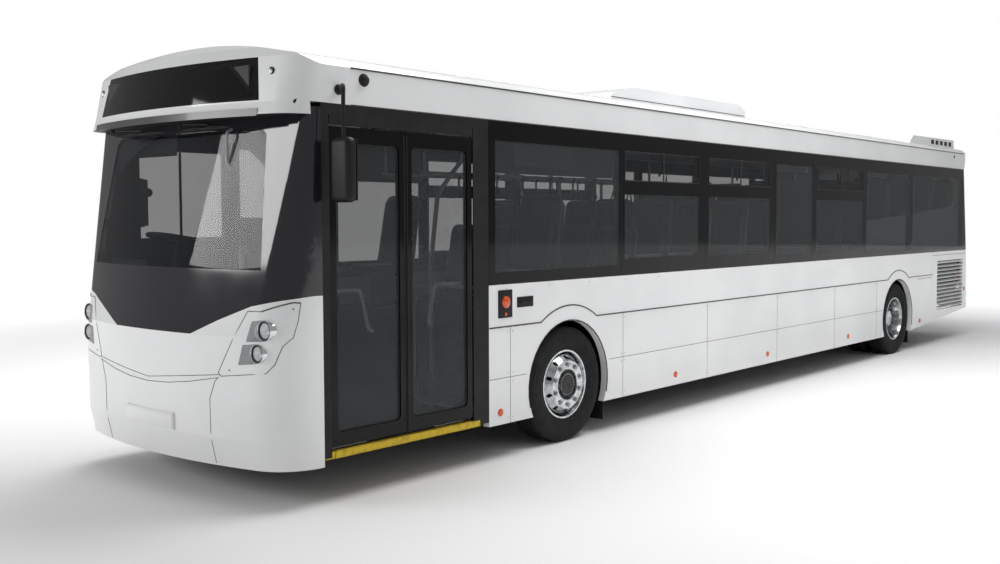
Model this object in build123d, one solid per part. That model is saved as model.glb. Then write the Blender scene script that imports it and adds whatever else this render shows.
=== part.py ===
"""Single-deck city bus on two axles, right-hand drive, with one double door ahead of the front axle.

Millimetres. +X points to the nose, +Y to the door side, +Z up.
The origin lies on the ground under the middle of the body's length and width.
"""
from build123d import *
import math
import os

os.makedirs("parts", exist_ok=True)

# Body, overall
LENGTH = 13250
WIDTH = 2500
WHEELBASE = 7250
FRONT_OVERHANG = 3040
WALL = 60
SHELL = 40
GLASS = 7

NOSE_X = LENGTH / 2
TAIL_X = -LENGTH / 2
FRONT_AXLE_X = NOSE_X - FRONT_OVERHANG
REAR_AXLE_X = FRONT_AXLE_X - WHEELBASE
SIDE_Y = WIDTH / 2
INNER_Y = SIDE_Y - WALL

# Levels above the ground
SKIRT_Z = 275
NOSE_SKIRT_Z = 260
TAIL_SKIRT_Z = 450
BELT_Z = 1350
DOOR_BELT_Z = 1384
CANT_Z = 2590
GUTTER_Z = 2830
SHOULDER_Z = 2905
ROOF_Z = 3020
SHOULDER_Y = 1100
LOW_FLOOR_Z = 345
DECK_Z = 860
FLOOR_THICKNESS = 35

# Where the body's sections meet along the length
FRONT_MODULE_X = NOSE_X - 485
DOME_JOINT_X = NOSE_X - 725
DOOR_POST_X = NOSE_X - 2050
STEP_X = REAR_AXLE_X + 3365
DECK_X = REAR_AXLE_X + 2965
REAR_MODULE_X = TAIL_X + 455
ROOF_END_X = TAIL_X + 375
SKIRT_RISE_X = REAR_AXLE_X - 426
BEYOND_NOSE_X = NOSE_X + 75
BEYOND_TAIL_X = TAIL_X - 75

# Wheels
TYRE_R = 478
TYRE_WIDTH = 275
RIM_R = 286
RIM_WIDTH = 222
TRACK_Y = 1087.5
TWIN_SPACING = 318
ARCH_R = 520
ARCH_Z = 490
KINGPIN_Y = TRACK_Y - 77.5
WHEEL_BOX_HALF = 560
WHEEL_BOX_Y = 590
WHEEL_BOX_TOP = 1040
SHEET = 12

# Chassis and axles
RAIL_LINE_Y = 430
RAIL_TOP_Z = LOW_FLOOR_Z - FLOOR_THICKNESS
RAIL_LOW_Z = RAIL_TOP_Z - 90
RAIL_HALF = 35
CHASSIS_FRONT_X = NOSE_X - 625
CHASSIS_REAR_X = TAIL_X + 375
CROSS_MEMBERS = [FRONT_AXLE_X + 1115, FRONT_AXLE_X - 565, 2100, 900, -400, -1700, REAR_AXLE_X + 675, REAR_AXLE_X - 675]
POST_PLACES = [DECK_X - 600, REAR_AXLE_X + 965, REAR_AXLE_X - 1035, TAIL_X + 625]
JACK_PLACES = [FRONT_AXLE_X + 715, REAR_AXLE_X + 1265]
JACK_PAD_HALF = 60
JACK_PAD_THICKNESS = 15
BEAM_HALF = 36
EYE_R = 36
BEAM_LOW_Z = 150
KINGPIN_R = 18
EYE_LOW_Z = 440
EYE_TOP_Z = 516
STUB_R = 34
STUB_REACH = 128
SPINDLE_R = 44

# Door: two leaves that swing inwards on cranks, each leaf's middle on its crank's end
LEAF_HALF = 328
LEAF_THICKNESS = 40
LEAF_BOTTOM_Z = 378
LEAF_TOP_Z = 2445
LEAF_EDGE = 52
PILLAR_OUTSET = 29
PILLAR_R = 16
DOOR_MID_X = NOSE_X - 1215
LEAF_GAP = 12
DOOR_Y = SIDE_Y - 8 - LEAF_THICKNESS / 2
PILLAR_Y = DOOR_Y - 44
HEADER_Z = 2520
JAMB_PLATE = 8
HEADER_DEPTH = 150
PIN_R = 8
PIN_CLEAR = 0.5
CRANK_THICKNESS = 16
CRANK_CLEAR = 5
FRONT_EDGE_X = DOOR_MID_X + LEAF_GAP / 2 + 2 * LEAF_HALF
REAR_EDGE_X = DOOR_MID_X - LEAF_GAP / 2 - 2 * LEAF_HALF
STEP_FRONT_X = NOSE_X - 579
STEP_REAR_X = NOSE_X - 1951
STEP_Z = 300


def block(x0, x1, y0, y1, z0, z1):
    return Pos((x0 + x1) / 2, (y0 + y1) / 2, (z0 + z1) / 2) * Box(x1 - x0, y1 - y0, z1 - z0)


def round_block(x0, x1, y0, y1, z0, z1, radius, axis=Axis.Z):
    """A block with the four edges along one axis rounded."""
    body = block(x0, x1, y0, y1, z0, z1)
    return fillet(body.edges().filter_by(axis), radius)


def side_prism(points, y0, y1):
    """An outline drawn in the side view, (x, z), extruded across the body from y0 to y1."""
    face = make_face(Polyline(*[(x, y0, z) for x, z in points], close=True))
    return extrude(face, amount=y1 - y0, dir=(0, 1, 0))


def end_prism(points, x0, x1):
    """An outline drawn in the end view, (y, z), extruded along the body from x0 to x1."""
    face = make_face(Polyline(*[(x0, y, z) for y, z in points], close=True))
    return extrude(face, amount=x1 - x0, dir=(1, 0, 0))


def across(x, z, radius, y0, y1):
    """A cylinder whose axis runs across the body."""
    return Pos(x, (y0 + y1) / 2, z) * Rot(90, 0, 0) * Cylinder(radius, y1 - y0)


def along(y, z, radius, x0, x1):
    """A cylinder whose axis runs along the body."""
    return Pos((x0 + x1) / 2, y, z) * Rot(0, 90, 0) * Cylinder(radius, x1 - x0)


def upright(x, y, radius, z0, z1):
    return Pos(x, y, (z0 + z1) / 2) * Cylinder(radius, z1 - z0)


def bent_tube(points, bend, radius):
    """A round bar that follows straight runs joined by bends of one radius."""
    path = FilletPolyline(*points, radius=bend)
    start = Plane(origin=path @ 0, z_dir=path % 0)
    return sweep(start * Circle(radius), path=path)


def mirrored(shape):
    """The same shape on the other side of the body."""
    return mirror(shape, about=Plane.XZ)


def group(*shapes):
    """Separate solids kept together as one piece."""
    return Compound([solid for shape in shapes for solid in shape.solids()])


def save(shape, name):
    export_step(shape, f"parts/{name}.step")


def plan_outline(z, tip_x, arc_radius, corner_radius, half_width, back_x):
    """Level outline of one end of the body: straight sides, tight corners, one wide arc across the end."""
    arc_x = tip_x - arc_radius
    reach = arc_radius - corner_radius
    corner_y = half_width - corner_radius
    corner_x = arc_x + math.sqrt(reach ** 2 - corner_y ** 2)
    turn = math.atan2(corner_y, corner_x - arc_x)
    meet = (arc_x + arc_radius * math.cos(turn), arc_radius * math.sin(turn))
    half = (turn + math.pi / 2) / 2
    mid = (corner_x + corner_radius * math.cos(half), corner_y + corner_radius * math.sin(half))
    edges = [
        Line((back_x, -half_width, z), (corner_x, -half_width, z)),
        ThreePointArc((corner_x, -half_width, z), (mid[0], -mid[1], z), (meet[0], -meet[1], z)),
        ThreePointArc((meet[0], -meet[1], z), (tip_x, 0, z), (meet[0], meet[1], z)),
        ThreePointArc((meet[0], meet[1], z), (mid[0], mid[1], z), (corner_x, half_width, z)),
        Line((corner_x, half_width, z), (back_x, half_width, z)),
        Line((back_x, half_width, z), (back_x, -half_width, z)),
    ]
    return make_face(edges)


def end_body(sections, half_width, back_x, inset=0):
    """One end of the body as a loft through its level outlines, all drawn in by an inset."""
    faces = [
        plan_outline(z, tip - inset, arc - inset, corner - inset, half_width - inset, back_x)
        for z, tip, arc, corner in sections
    ]
    return loft(faces, ruled=True)


def roof_section(inset, x0, x1, floor_z):
    """Everything under the roof's outer curve, drawn in by an inset."""
    y = SIDE_Y - inset
    rise = ROOF_Z - SHOULDER_Z
    crown_r = (SHOULDER_Y ** 2 + rise ** 2) / (2 * rise)
    lean = math.asin(SHOULDER_Y / crown_r)
    shoulder = (SHOULDER_Y - inset * math.sin(lean), SHOULDER_Z - inset * math.cos(lean))
    gutter = (y, GUTTER_Z - inset * 0.6)
    bend = ((shoulder[0] + gutter[0]) / 2 + 9, (shoulder[1] + gutter[1]) / 2 + 17)
    edges = [
        Line((x0, -y, floor_z), (x0, -gutter[0], gutter[1])),
        ThreePointArc((x0, -gutter[0], gutter[1]), (x0, -bend[0], bend[1]), (x0, -shoulder[0], shoulder[1])),
        ThreePointArc((x0, -shoulder[0], shoulder[1]), (x0, 0, ROOF_Z - inset), (x0, shoulder[0], shoulder[1])),
        ThreePointArc((x0, shoulder[0], shoulder[1]), (x0, bend[0], bend[1]), (x0, gutter[0], gutter[1])),
        Line((x0, gutter[0], gutter[1]), (x0, y, floor_z)),
        Line((x0, y, floor_z), (x0, -y, floor_z)),
    ]
    return extrude(make_face(edges), amount=x1 - x0, dir=(1, 0, 0))


# Nose: level, tip, radius of the arc across the nose, radius of the corner into the side
NOSE_SECTIONS = [
    (NOSE_SKIRT_Z, NOSE_X - 45, 4500, 330),
    (450, NOSE_X - 4, 4500, 330),
    (800, NOSE_X, 4500, 330),
    (1107, NOSE_X - 12, 4500, 320),
    (1600, NOSE_X - 104, 5200, 250),
    (2080, NOSE_X - 204, 6400, 160),
    (2560, NOSE_X - 302, 8000, 80),
]
# Dome over the windscreen, which stands out past the glass
DOME_SECTIONS = [
    (2510, NOSE_X - 105, 4600, 220),
    (CANT_Z, NOSE_X - 130, 4600, 220),
    (2880, NOSE_X - 188, 4600, 220),
    (2955, NOSE_X - 240, 4600, 220),
    (3030, NOSE_X - 375, 4600, 220),
]
# Tail, measured from the rear bumper
TAIL_SECTIONS = [
    (TAIL_SKIRT_Z, NOSE_X, 16000, 70),
    (1400, NOSE_X - 64, 16000, 70),
    (2585, NOSE_X - 235, 16000, 70),
    (2680, NOSE_X - 190, 16000, 70),
    (2850, NOSE_X - 182, 16000, 70),
    (2950, NOSE_X - 215, 16000, 70),
    (3030, NOSE_X - 300, 16000, 70),
]
# Rear edge of the side panels and side glass in the side view
SIDE_END_LOW_X = TAIL_X + 128
SIDE_END_BELT_X = TAIL_X + 175
SIDE_END_TOP_X = TAIL_X + 349

# Lower edge of the black windscreen surround in the front view: y, z
MASK_EDGE = [(456, 1107), (693, 1204), (964, 1303), (1221, 1356), (1300, DOOR_BELT_Z)]
WINDSCREEN_HALF_TOP = 905
WINDSCREEN_HALF_LOW = 1010
WINDSCREEN_LOW_Z = 1530
WINDSCREEN_TOP_Z = 2440
SEAM_LOW_Y = 648
SEAM_HIGH_Y = 735
CREASE_Z = 790
CREASE_SIDE_Z = 861
LAMP_PANEL_Y = 1130

# Windows of the door side, in the order nose to tail. Start and end are measured back from the door post
# on a glazed side of GLAZED_RUN: start, end, sill z, whether the top opens
GLAZED_RUN = 10851
WINDOW_TOP_Z = 2440
HOPPER_Z = 2185
HOPPER_LOW_Z = 2062
WINDOWS = [
    (75, 1680, 1444, False),
    (1774, 3019, 1494, True),
    (3208, 4490, 1480, True),
    (4640, 5540, 1444, False),
    (5650, 6990, 1452, True),
    (7120, 8630, 1400, False),
    (8725, 10815, 1400, False),
]
PANE_JOINTS = [1727, 3150, 4598, 5555, 7074, 8674]
PANE_GAP = 6
DRIVER_WINDOW = (NOSE_X - 655, NOSE_X - 1436, 1690, 2400)
OFFSIDE_WINDOW = (NOSE_X - 1575, NOSE_X - 1985, 1444, WINDOW_TOP_Z)

# Seats: x of the back, level they stand on, level of the top, whether the left and right rows have one
SEATS = [
    (FRONT_AXLE_X - 119, WHEEL_BOX_TOP, 2070, True, True),
    (FRONT_AXLE_X - 1105, 600, 1790, True, True),
    (1903, DECK_Z, 2047, True, True),
    (1153, DECK_Z, 2047, True, True),
    (403, DECK_Z, 2047, True, True),
    (-1296, 1120, 2310, True, True),
    (-2046, 1120, 2310, True, True),
    (-2796, 1120, 2310, True, True),
    (-3546, 1120, 2310, True, True),
    (-4454, 1250, 2440, True, True),
    (-5204, 1250, 2440, True, True),
]
SEAT_WIDTH = 440
SEAT_DEPTH = 430
SEAT_PAD = 70
SEAT_SHELL = 30
CUSHION_RISE = 440
BENCH_X = TAIL_X + 565
SEAT_LEAN = 90
SEAT_CORNER = 85
SEAT_LIFT = 0.2
DECK_CUSHION_RISE = 330
SEAT_LINES = (945, 475)
BENCH_LINES = (945, 475, 0, -475, -945)

# Podiums that carry the seats: front x, rear x, level of the top
PODIUMS = [
    (FRONT_AXLE_X - 625, FRONT_AXLE_X - 1355, 600),
    (FRONT_AXLE_X - 1355, DECK_X + SHEET, DECK_Z),
    (DECK_X, REAR_AXLE_X - 455, 1120),
    (REAR_AXLE_X - 455, TAIL_X + 475, 1250),
]
PODIUM_Y = 330
MIDDLE_STEP_Z = 602

# Grab rails
RAIL_Y = 236
RAIL_DROP = 790
RAIL_Z = ROOF_Z - RAIL_DROP
RAIL_SEAT = 0.2
RAIL_R = 16
RAIL_FRONT_X = NOSE_X - 2325
RAIL_REAR_X = TAIL_X + 725
HANGER_R = 12.8
RAIL_HANGERS = [RAIL_FRONT_X - 50, 2600, 900, -900, -2600, -4300, RAIL_REAR_X + 50]
RAIL_POLES = [(2450, LOW_FLOOR_Z), (1130, LOW_FLOOR_Z), (DECK_X - 630, DECK_Z), (DECK_X - 2130, DECK_Z)]
BOW_X = NOSE_X - 2065
BOW_Y = 620
BOW_R = 18

# Driver's place
DRIVER_Y = -640
CAB_FLOOR_Z = 700
STEER_X = NOSE_X - 665
STEER_Z = 1690
STEER_R = 240
STEER_TILT = 12
DRIVER_SEAT_X = NOSE_X - 1745
DASH_Y = 470
DASH_X = NOSE_X - 450

# Mirrors, flaps and small lamps
MIRROR_X = NOSE_X - 525
MIRROR_Y = 1420
OFF_MIRROR_X = NOSE_X - 765
FLAP_Z = 100
FLAP_TOP_Z = 420
FLAP_THICKNESS = 10
TAIL_LAMP_Y = 1120
TAIL_LAMP_R = 50
TAIL_LAMP_LEVELS = [760, 900, 1040, 1180]
# Side marker lamps of both sides: x, z
SIDE_MARKERS = [(FRONT_AXLE_X + 864, 370), (FRONT_AXLE_X - 1628, 374), (102, 379), (REAR_AXLE_X + 1644, 385),
                (REAR_AXLE_X - 828, 390), (TAIL_X + 225, 744)]

# Roof unit: front x, rear x, half width, top
ROOF_UNIT_FRONT_X = 2385
ROOF_UNIT_REAR_X = -215
ROOF_UNIT_HALF = 780
ROOF_UNIT_TOP = ROOF_Z + 85

REAR_HOUSING = (TAIL_X + 245, REAR_AXLE_X - 765, 780, 1060)
# Wipers: y of the pivot, y of the blade's end
WIPERS = [(90, 620), (-790, -150)]

# Front lamps: y, z, radius
FRONT_LAMPS = [(1080, 1155, 66), (1040, 1010, 62)]

# Side grille in the rear left panel
GRILLE_X0 = TAIL_X + 260
GRILLE_X1 = REAR_AXLE_X - 1500
GRILLE_Z0 = 470
GRILLE_Z1 = 1240
GRILLE_SLATS = 13
GRILLE_FRAME = 25

# Engine door in the tail
ENGINE_DOOR_HALF = 800
ENGINE_DOOR_LOW_Z = 560
ENGINE_DOOR_TOP_Z = 1300
REAR_GLASS_HALF = 950
REAR_GLASS_LOW_Z = 1480
REAR_GLASS_TOP_Z = 2380
DOOR_CLEAR = 6
HATCH_PIN_R = 6
HATCH_HINGE_X = TAIL_X + 83
HATCH_ZONE = (TAIL_X - 75, TAIL_X + 325)
HATCH_HINGE_Z = 1262
HATCH_TOP_CLEAR = 22


def tail(shape):
    """Turns a shape drawn at the nose end so that it stands at the tail."""
    return mirror(shape, about=Plane.YZ)


def side_end_profile():
    """Side view of the zone that belongs to the side panels at the tail."""
    return [(-DOME_JOINT_X, 0), (SIDE_END_LOW_X, 0), (SIDE_END_LOW_X, TAIL_SKIRT_Z), (SIDE_END_BELT_X, BELT_Z),
            (SIDE_END_TOP_X, CANT_Z), (-DOME_JOINT_X, CANT_Z)]


def nose_pieces():
    """Windscreen, its black surround, and the white lower panels."""
    outer = end_body(NOSE_SECTIONS, SIDE_Y, FRONT_MODULE_X)
    inner = end_body(NOSE_SECTIONS, SIDE_Y, FRONT_MODULE_X, SHELL)
    shell = outer - inner
    glass_shell = outer - end_body(NOSE_SECTIONS, SIDE_Y, FRONT_MODULE_X, GLASS)
    left = [(y, z) for y, z in MASK_EDGE]
    right = [(-y, z) for y, z in reversed(MASK_EDGE)]
    above = end_prism(right + left + [(1300, 2600), (-1300, 2600)], DOME_JOINT_X, BEYOND_NOSE_X)
    surround = shell & above
    pane_zone = end_prism(
        [(-WINDSCREEN_HALF_LOW, WINDSCREEN_LOW_Z), (WINDSCREEN_HALF_LOW, WINDSCREEN_LOW_Z),
         (WINDSCREEN_HALF_TOP, WINDSCREEN_TOP_Z), (-WINDSCREEN_HALF_TOP, WINDSCREEN_TOP_Z)], NOSE_X - 325, BEYOND_NOSE_X)
    windscreen = glass_shell & pane_zone
    surround = surround - pane_zone
    lower = shell - above
    crease = [(0, CREASE_Z), (SEAM_HIGH_Y, CREASE_SIDE_Z)]
    corner = [(SEAM_LOW_Y, 200), (SEAM_LOW_Y, 702), (SEAM_HIGH_Y, CREASE_SIDE_Z), (1000, 883),
              (LAMP_PANEL_Y, 935), (1185, 1065), (1212, 1240), (1218, 1500), (1300, 1500), (1300, 200)]
    corner_zone = end_prism(corner, DOME_JOINT_X, BEYOND_NOSE_X)
    corners = lower & (corner_zone + mirrored(corner_zone))
    middle = lower - corner_zone - mirrored(corner_zone)
    under = end_prism([(-SEAM_HIGH_Y, 200), (SEAM_HIGH_Y, 200), (SEAM_HIGH_Y, CREASE_SIDE_Z), (0, CREASE_Z),
                       (-SEAM_HIGH_Y, CREASE_SIDE_Z)], DOME_JOINT_X, BEYOND_NOSE_X)
    bumper = middle & under
    panel = middle - under
    for side in (1, -1):
        for y, z, radius in FRONT_LAMPS:
            panel = panel - along(side * y, z, radius + 0.3, NOSE_X - 325, BEYOND_NOSE_X)
    return windscreen, surround, corners, bumper, panel


def dome_pieces():
    """White dome above the windscreen, its opening for the route display, and the display's glass."""
    under_roof = roof_section(0, DOME_JOINT_X - 100, BEYOND_NOSE_X, 2300)
    under_lining = roof_section(SHELL, DOME_JOINT_X - 100, BEYOND_NOSE_X, 2300)
    outer = end_body(DOME_SECTIONS, SIDE_Y, DOME_JOINT_X) & under_roof
    inner = end_body(DOME_SECTIONS[:-1] + [(2999, NOSE_X - 305, 4600, 220)], SIDE_Y, DOME_JOINT_X, SHELL)
    inner = inner & under_lining
    lip_x = NOSE_X - 410
    lip = block(lip_x, BEYOND_NOSE_X, -1300, 1300, 2400, 2530)
    shell = outer - (inner - lip)
    shell = shell - block(DOME_JOINT_X - 100, lip_x, -1300, 1300, 2400, CANT_Z)
    mouth = end_prism([(-960, 2600), (960, 2600), (900, 2878), (-900, 2878)], NOSE_X - 375, BEYOND_NOSE_X)
    glass = (outer - end_body(DOME_SECTIONS, SIDE_Y, DOME_JOINT_X, GLASS)) & mouth
    behind = end_body(NOSE_SECTIONS[-2:], SIDE_Y, FRONT_MODULE_X)
    shell = shell - mouth - behind
    return shell, glass


def tail_pieces():
    """Rear wall with its window and engine door openings, the glass and the engine door."""
    under_roof = roof_section(0, -REAR_MODULE_X - 70, BEYOND_NOSE_X, 300)
    under_lining = roof_section(SHELL, -REAR_MODULE_X - 70, BEYOND_NOSE_X, 300)
    outer = end_body(TAIL_SECTIONS, SIDE_Y, -REAR_MODULE_X) & under_roof
    inner_sections = TAIL_SECTIONS[:-1] + [(2991, NOSE_X - 255, 16000, 70)]
    inner = end_body(inner_sections, SIDE_Y, -REAR_MODULE_X, SHELL) & under_lining
    skin = outer - end_body(TAIL_SECTIONS, SIDE_Y, -REAR_MODULE_X, GLASS)
    shell = tail(outer - inner)
    ends = side_prism(side_end_profile(), SIDE_Y - 200, SIDE_Y + 10)
    shell = shell - ends - mirrored(ends)
    shell = shell - block(ROOF_END_X, REAR_MODULE_X + 10, -1300, 1300, 2700, 3100)
    shell = shell - block(ROOF_END_X, REAR_MODULE_X + 10, -1300, 1300, CANT_Z, 2710)
    window = block(*HATCH_ZONE, -REAR_GLASS_HALF, REAR_GLASS_HALF, REAR_GLASS_LOW_Z, REAR_GLASS_TOP_Z)
    hatch = block(*HATCH_ZONE, -ENGINE_DOOR_HALF, ENGINE_DOOR_HALF, ENGINE_DOOR_LOW_Z, ENGINE_DOOR_TOP_Z)
    leaf_zone = block(*HATCH_ZONE, -ENGINE_DOOR_HALF + DOOR_CLEAR, ENGINE_DOOR_HALF - DOOR_CLEAR,
                      ENGINE_DOOR_LOW_Z + DOOR_CLEAR, ENGINE_DOOR_TOP_Z - HATCH_TOP_CLEAR)
    door = shell & leaf_zone
    door = door - across(HATCH_HINGE_X, HATCH_HINGE_Z, HATCH_PIN_R + 0.3, -ENGINE_DOOR_HALF, -ENGINE_DOOR_HALF + 40)
    door = door - across(HATCH_HINGE_X, HATCH_HINGE_Z, HATCH_PIN_R + 0.3, ENGINE_DOOR_HALF - 40, ENGINE_DOOR_HALF)
    glass = tail(skin) & window
    wall = shell - window - hatch
    for side in (1, -1):
        y0, y1 = sorted((side * (ENGINE_DOOR_HALF - 36), side * (ENGINE_DOOR_HALF + 20)))
        wall = wall + across(HATCH_HINGE_X, HATCH_HINGE_Z, HATCH_PIN_R, y0, y1)
        for z in TAIL_LAMP_LEVELS:
            wall = wall - along(side * TAIL_LAMP_Y, z, TAIL_LAMP_R + 0.3, BEYOND_TAIL_X, TAIL_X + 175)
    return wall, glass, door


def roof():
    """Roof skin with its cove and cantrail sides, open below."""
    outer = roof_section(0, ROOF_END_X, DOME_JOINT_X, CANT_Z)
    inner = roof_section(SHELL, ROOF_END_X, DOME_JOINT_X, CANT_Z - 10)
    return outer - inner


def lower_side(front_x):
    """Outline of the panels below the windows, with both wheel arches."""
    outline = [(front_x, SKIRT_Z), (SKIRT_RISE_X, SKIRT_Z), (SIDE_END_LOW_X, TAIL_SKIRT_Z),
               (SIDE_END_BELT_X, BELT_Z), (front_x, BELT_Z)]
    wall = side_prism(outline, INNER_Y, SIDE_Y)
    for axle in (FRONT_AXLE_X, REAR_AXLE_X):
        wall = wall - across(axle, ARCH_Z, ARCH_R, INNER_Y - 10, SIDE_Y + 10)
    return wall


def bay_x(back):
    """Place along the side of a distance in the window table."""
    return DOOR_POST_X - back * (DOOR_POST_X - SIDE_END_TOP_X) / GLAZED_RUN


def glazing_band(front_x, extra=()):
    """Pillars and rails around the side windows, and one pane over each bay."""
    outline = [(front_x, BELT_Z), (SIDE_END_BELT_X, BELT_Z), (SIDE_END_TOP_X, CANT_Z), (front_x, CANT_Z)]
    frame = side_prism(outline, INNER_Y, SIDE_Y - GLASS)
    skin = side_prism(outline, SIDE_Y - GLASS, SIDE_Y)
    for start, end, sill, hopper in WINDOWS:
        x1, x0 = bay_x(start), bay_x(end)
        if hopper:
            frame = frame - block(x0, x1, INNER_Y - 10, SIDE_Y, sill, HOPPER_LOW_Z)
            frame = frame - block(x0, x1, INNER_Y - 10, SIDE_Y, HOPPER_Z, WINDOW_TOP_Z)
        else:
            frame = frame - block(x0, x1, INNER_Y - 10, SIDE_Y, sill, WINDOW_TOP_Z)
    for x1, x0, sill, top in extra:
        frame = frame - block(x0, x1, INNER_Y - 10, SIDE_Y, sill, top)
    for back in PANE_JOINTS:
        joint = bay_x(back)
        skin = skin - block(joint - PANE_GAP / 2, joint + PANE_GAP / 2, INNER_Y, SIDE_Y + 10, BELT_Z - 10, CANT_Z + 10)
    return frame, skin


def side_grille():
    """A frame with sloping slats across it, set in the rear side panel."""
    frame = block(GRILLE_X0, GRILLE_X1, SIDE_Y - 45, SIDE_Y - 2, GRILLE_Z0, GRILLE_Z1)
    frame = frame - block(GRILLE_X0 + GRILLE_FRAME, GRILLE_X1 - GRILLE_FRAME, SIDE_Y - 60, SIDE_Y + 5,
                          GRILLE_Z0 + GRILLE_FRAME, GRILLE_Z1 - GRILLE_FRAME)
    pitch = (GRILLE_Z1 - GRILLE_Z0 - 2 * GRILLE_FRAME) / GRILLE_SLATS
    for i in range(GRILLE_SLATS):
        z = GRILLE_Z0 + GRILLE_FRAME + pitch * (i + 0.3)
        slat = end_prism([(SIDE_Y - 42, z + 22), (SIDE_Y - 42, z + 28), (SIDE_Y - 5, z + 6), (SIDE_Y - 5, z)],
                         GRILLE_X0 + GRILLE_FRAME - 2, GRILLE_X1 - GRILLE_FRAME + 2)
        frame = frame + slat
    return frame


def wheel_box_zone(axle, side, inset=0):
    """The room that one wheel box takes, drawn in by the sheet's thickness for its inside."""
    y0, y1 = sorted((side * (WHEEL_BOX_Y + inset), side * (INNER_Y - 0.3 + 2 * inset)))
    low = RAIL_TOP_Z if inset == 0 else 0
    return block(axle - WHEEL_BOX_HALF + inset, axle + WHEEL_BOX_HALF - inset, y0, y1, low, WHEEL_BOX_TOP - inset)


def wheel_boxes():
    """Sheet boxes over the wheels, open below and on the outside; the rear ones are slotted for the axle."""
    boxes = []
    for axle in (FRONT_AXLE_X, REAR_AXLE_X):
        for side in (1, -1):
            boxes.append(wheel_box_zone(axle, side) - wheel_box_zone(axle, side, SHEET))
    slot = block(REAR_AXLE_X - 90, REAR_AXLE_X + 90, -700, 700, 0, TYRE_R + 100)
    return group(boxes[0], boxes[1], boxes[2] - slot, boxes[3] - slot)


def low_floor():
    """Level floor from the nose to the middle step, notched for the front wheel boxes."""
    edge = INNER_Y - 0.3
    back_x = FRONT_MODULE_X - 10
    plate = block(STEP_X, back_x, -edge, edge, RAIL_TOP_Z, LOW_FLOOR_Z)
    nose = block(back_x, NOSE_X - 175, -edge, edge, RAIL_TOP_Z, LOW_FLOOR_Z)
    plate = plate + (nose & end_body(NOSE_SECTIONS, SIDE_Y, back_x, SHELL + 0.3))
    return plate - wheel_box_zone(FRONT_AXLE_X, 1) - wheel_box_zone(FRONT_AXLE_X, -1)


def rear_deck():
    """Middle step, riser and the high deck over the rear axle, notched for the rear wheel boxes."""
    edge = INNER_Y - 0.3
    body = block(DECK_X, STEP_X, -edge, edge, RAIL_TOP_Z, MIDDLE_STEP_Z)
    body = body + block(DECK_X, DECK_X + SHEET, -edge, edge, MIDDLE_STEP_Z, DECK_Z)
    body = body + block(TAIL_X + 475, DECK_X, -edge, edge, DECK_Z - FLOOR_THICKNESS, DECK_Z)
    return body - wheel_box_zone(REAR_AXLE_X, 1) - wheel_box_zone(REAR_AXLE_X, -1)


def podiums():
    """Raised bases of the seats along both sides, stepped to clear the middle step and the rear wheel boxes."""
    edge = INNER_Y - 0.3
    bases = []
    for side in (1, -1):
        y0, y1 = sorted((side * PODIUM_Y, side * edge))
        boxes = [block(rear, front, y0, y1, DECK_Z if top > DECK_Z else LOW_FLOOR_Z, top) for front, rear, top in PODIUMS]
        step = block(DECK_X, STEP_X, y0, y1, 0, MIDDLE_STEP_Z)
        bases.append(boxes[0] + boxes[1] - step)
        bases.append(boxes[2] + boxes[3] - wheel_box_zone(REAR_AXLE_X, side))
    return group(*bases)


def chassis_rails():
    """Two long rails with jacking pads under them."""
    rails = []
    for y in (-RAIL_LINE_Y, RAIL_LINE_Y):
        rail = block(CHASSIS_REAR_X, CHASSIS_FRONT_X, y - RAIL_HALF, y + RAIL_HALF, RAIL_LOW_Z, RAIL_TOP_Z)
        for x in JACK_PLACES:
            rail = rail + block(x - JACK_PAD_HALF, x + JACK_PAD_HALF, y - 30, y + 30, RAIL_LOW_Z - JACK_PAD_THICKNESS,
                                RAIL_LOW_Z)
        rails.append(rail)
    return group(*rails)


def chassis_members():
    """Cross members between the rails, and posts on them that carry the rear deck."""
    inner = RAIL_LINE_Y - RAIL_HALF
    members = [block(x - 40, x + 40, -inner, inner, RAIL_LOW_Z + 10, RAIL_TOP_Z - 10)
               for x in [CHASSIS_FRONT_X - 40] + CROSS_MEMBERS]
    for x in POST_PLACES:
        for side in (1, -1):
            y0, y1 = sorted((side * RAIL_LINE_Y, side * (RAIL_LINE_Y + RAIL_HALF)))
            members.append(block(x - 35, x + 35, y0, y1, RAIL_TOP_Z, DECK_Z - FLOOR_THICKNESS))
    return group(*members)


def tyre():
    """Tyre section turned about the axle, centred on its own middle plane."""
    half = TYRE_WIDTH / 2
    bead = RIM_WIDTH / 2
    wall = half
    points = [(RIM_R, -bead), (RIM_R + 45, -bead - 8), (390, -wall), (440, -wall + 10), (TYRE_R - 8, -wall + 26),
              (TYRE_R, -wall + 45), (TYRE_R, wall - 45), (TYRE_R - 8, wall - 26), (440, wall - 10), (390, wall),
              (RIM_R + 45, bead + 8), (RIM_R, bead)]
    return revolve(make_face(Polyline(*[(r, y, 0) for r, y in points], close=True)), axis=Axis.Y)


def front_rim():
    """Rim whose disc stands out as a flat ring for the wheel nuts, with ten vents round it and a hub cup inside."""
    half = RIM_WIDTH / 2
    seat = RIM_R - 0.5
    points = [(seat, -half), (seat, half), (seat - 14, half), (seat - 24, half - 30), (252, 40), (246, 92), (226, 116),
              (203, 139), (198, 142), (132, 142), (126, 138), (122, 112), (92, 110), (88, 140), (0, 140),
              (0, STUB_REACH + 4), (STUB_R + 0.3, STUB_REACH + 4), (STUB_R + 0.3, 75), (120, 75), (128, 100), (196, 118),
              (232, 80), (243, 20), (243, -30), (seat - 22, -half + 26), (seat - 14, -half)]
    rim = revolve(make_face(Polyline(*[(r, y, 0) for r, y in points], close=True)), axis=Axis.Y)
    for i in range(10):
        turn = math.radians(36 * i + 18)
        rim = rim - Pos(225 * math.cos(turn), 100, 225 * math.sin(turn)) * Rot(90, 0, 0) * Cylinder(17, 90)
    return rim


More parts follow.
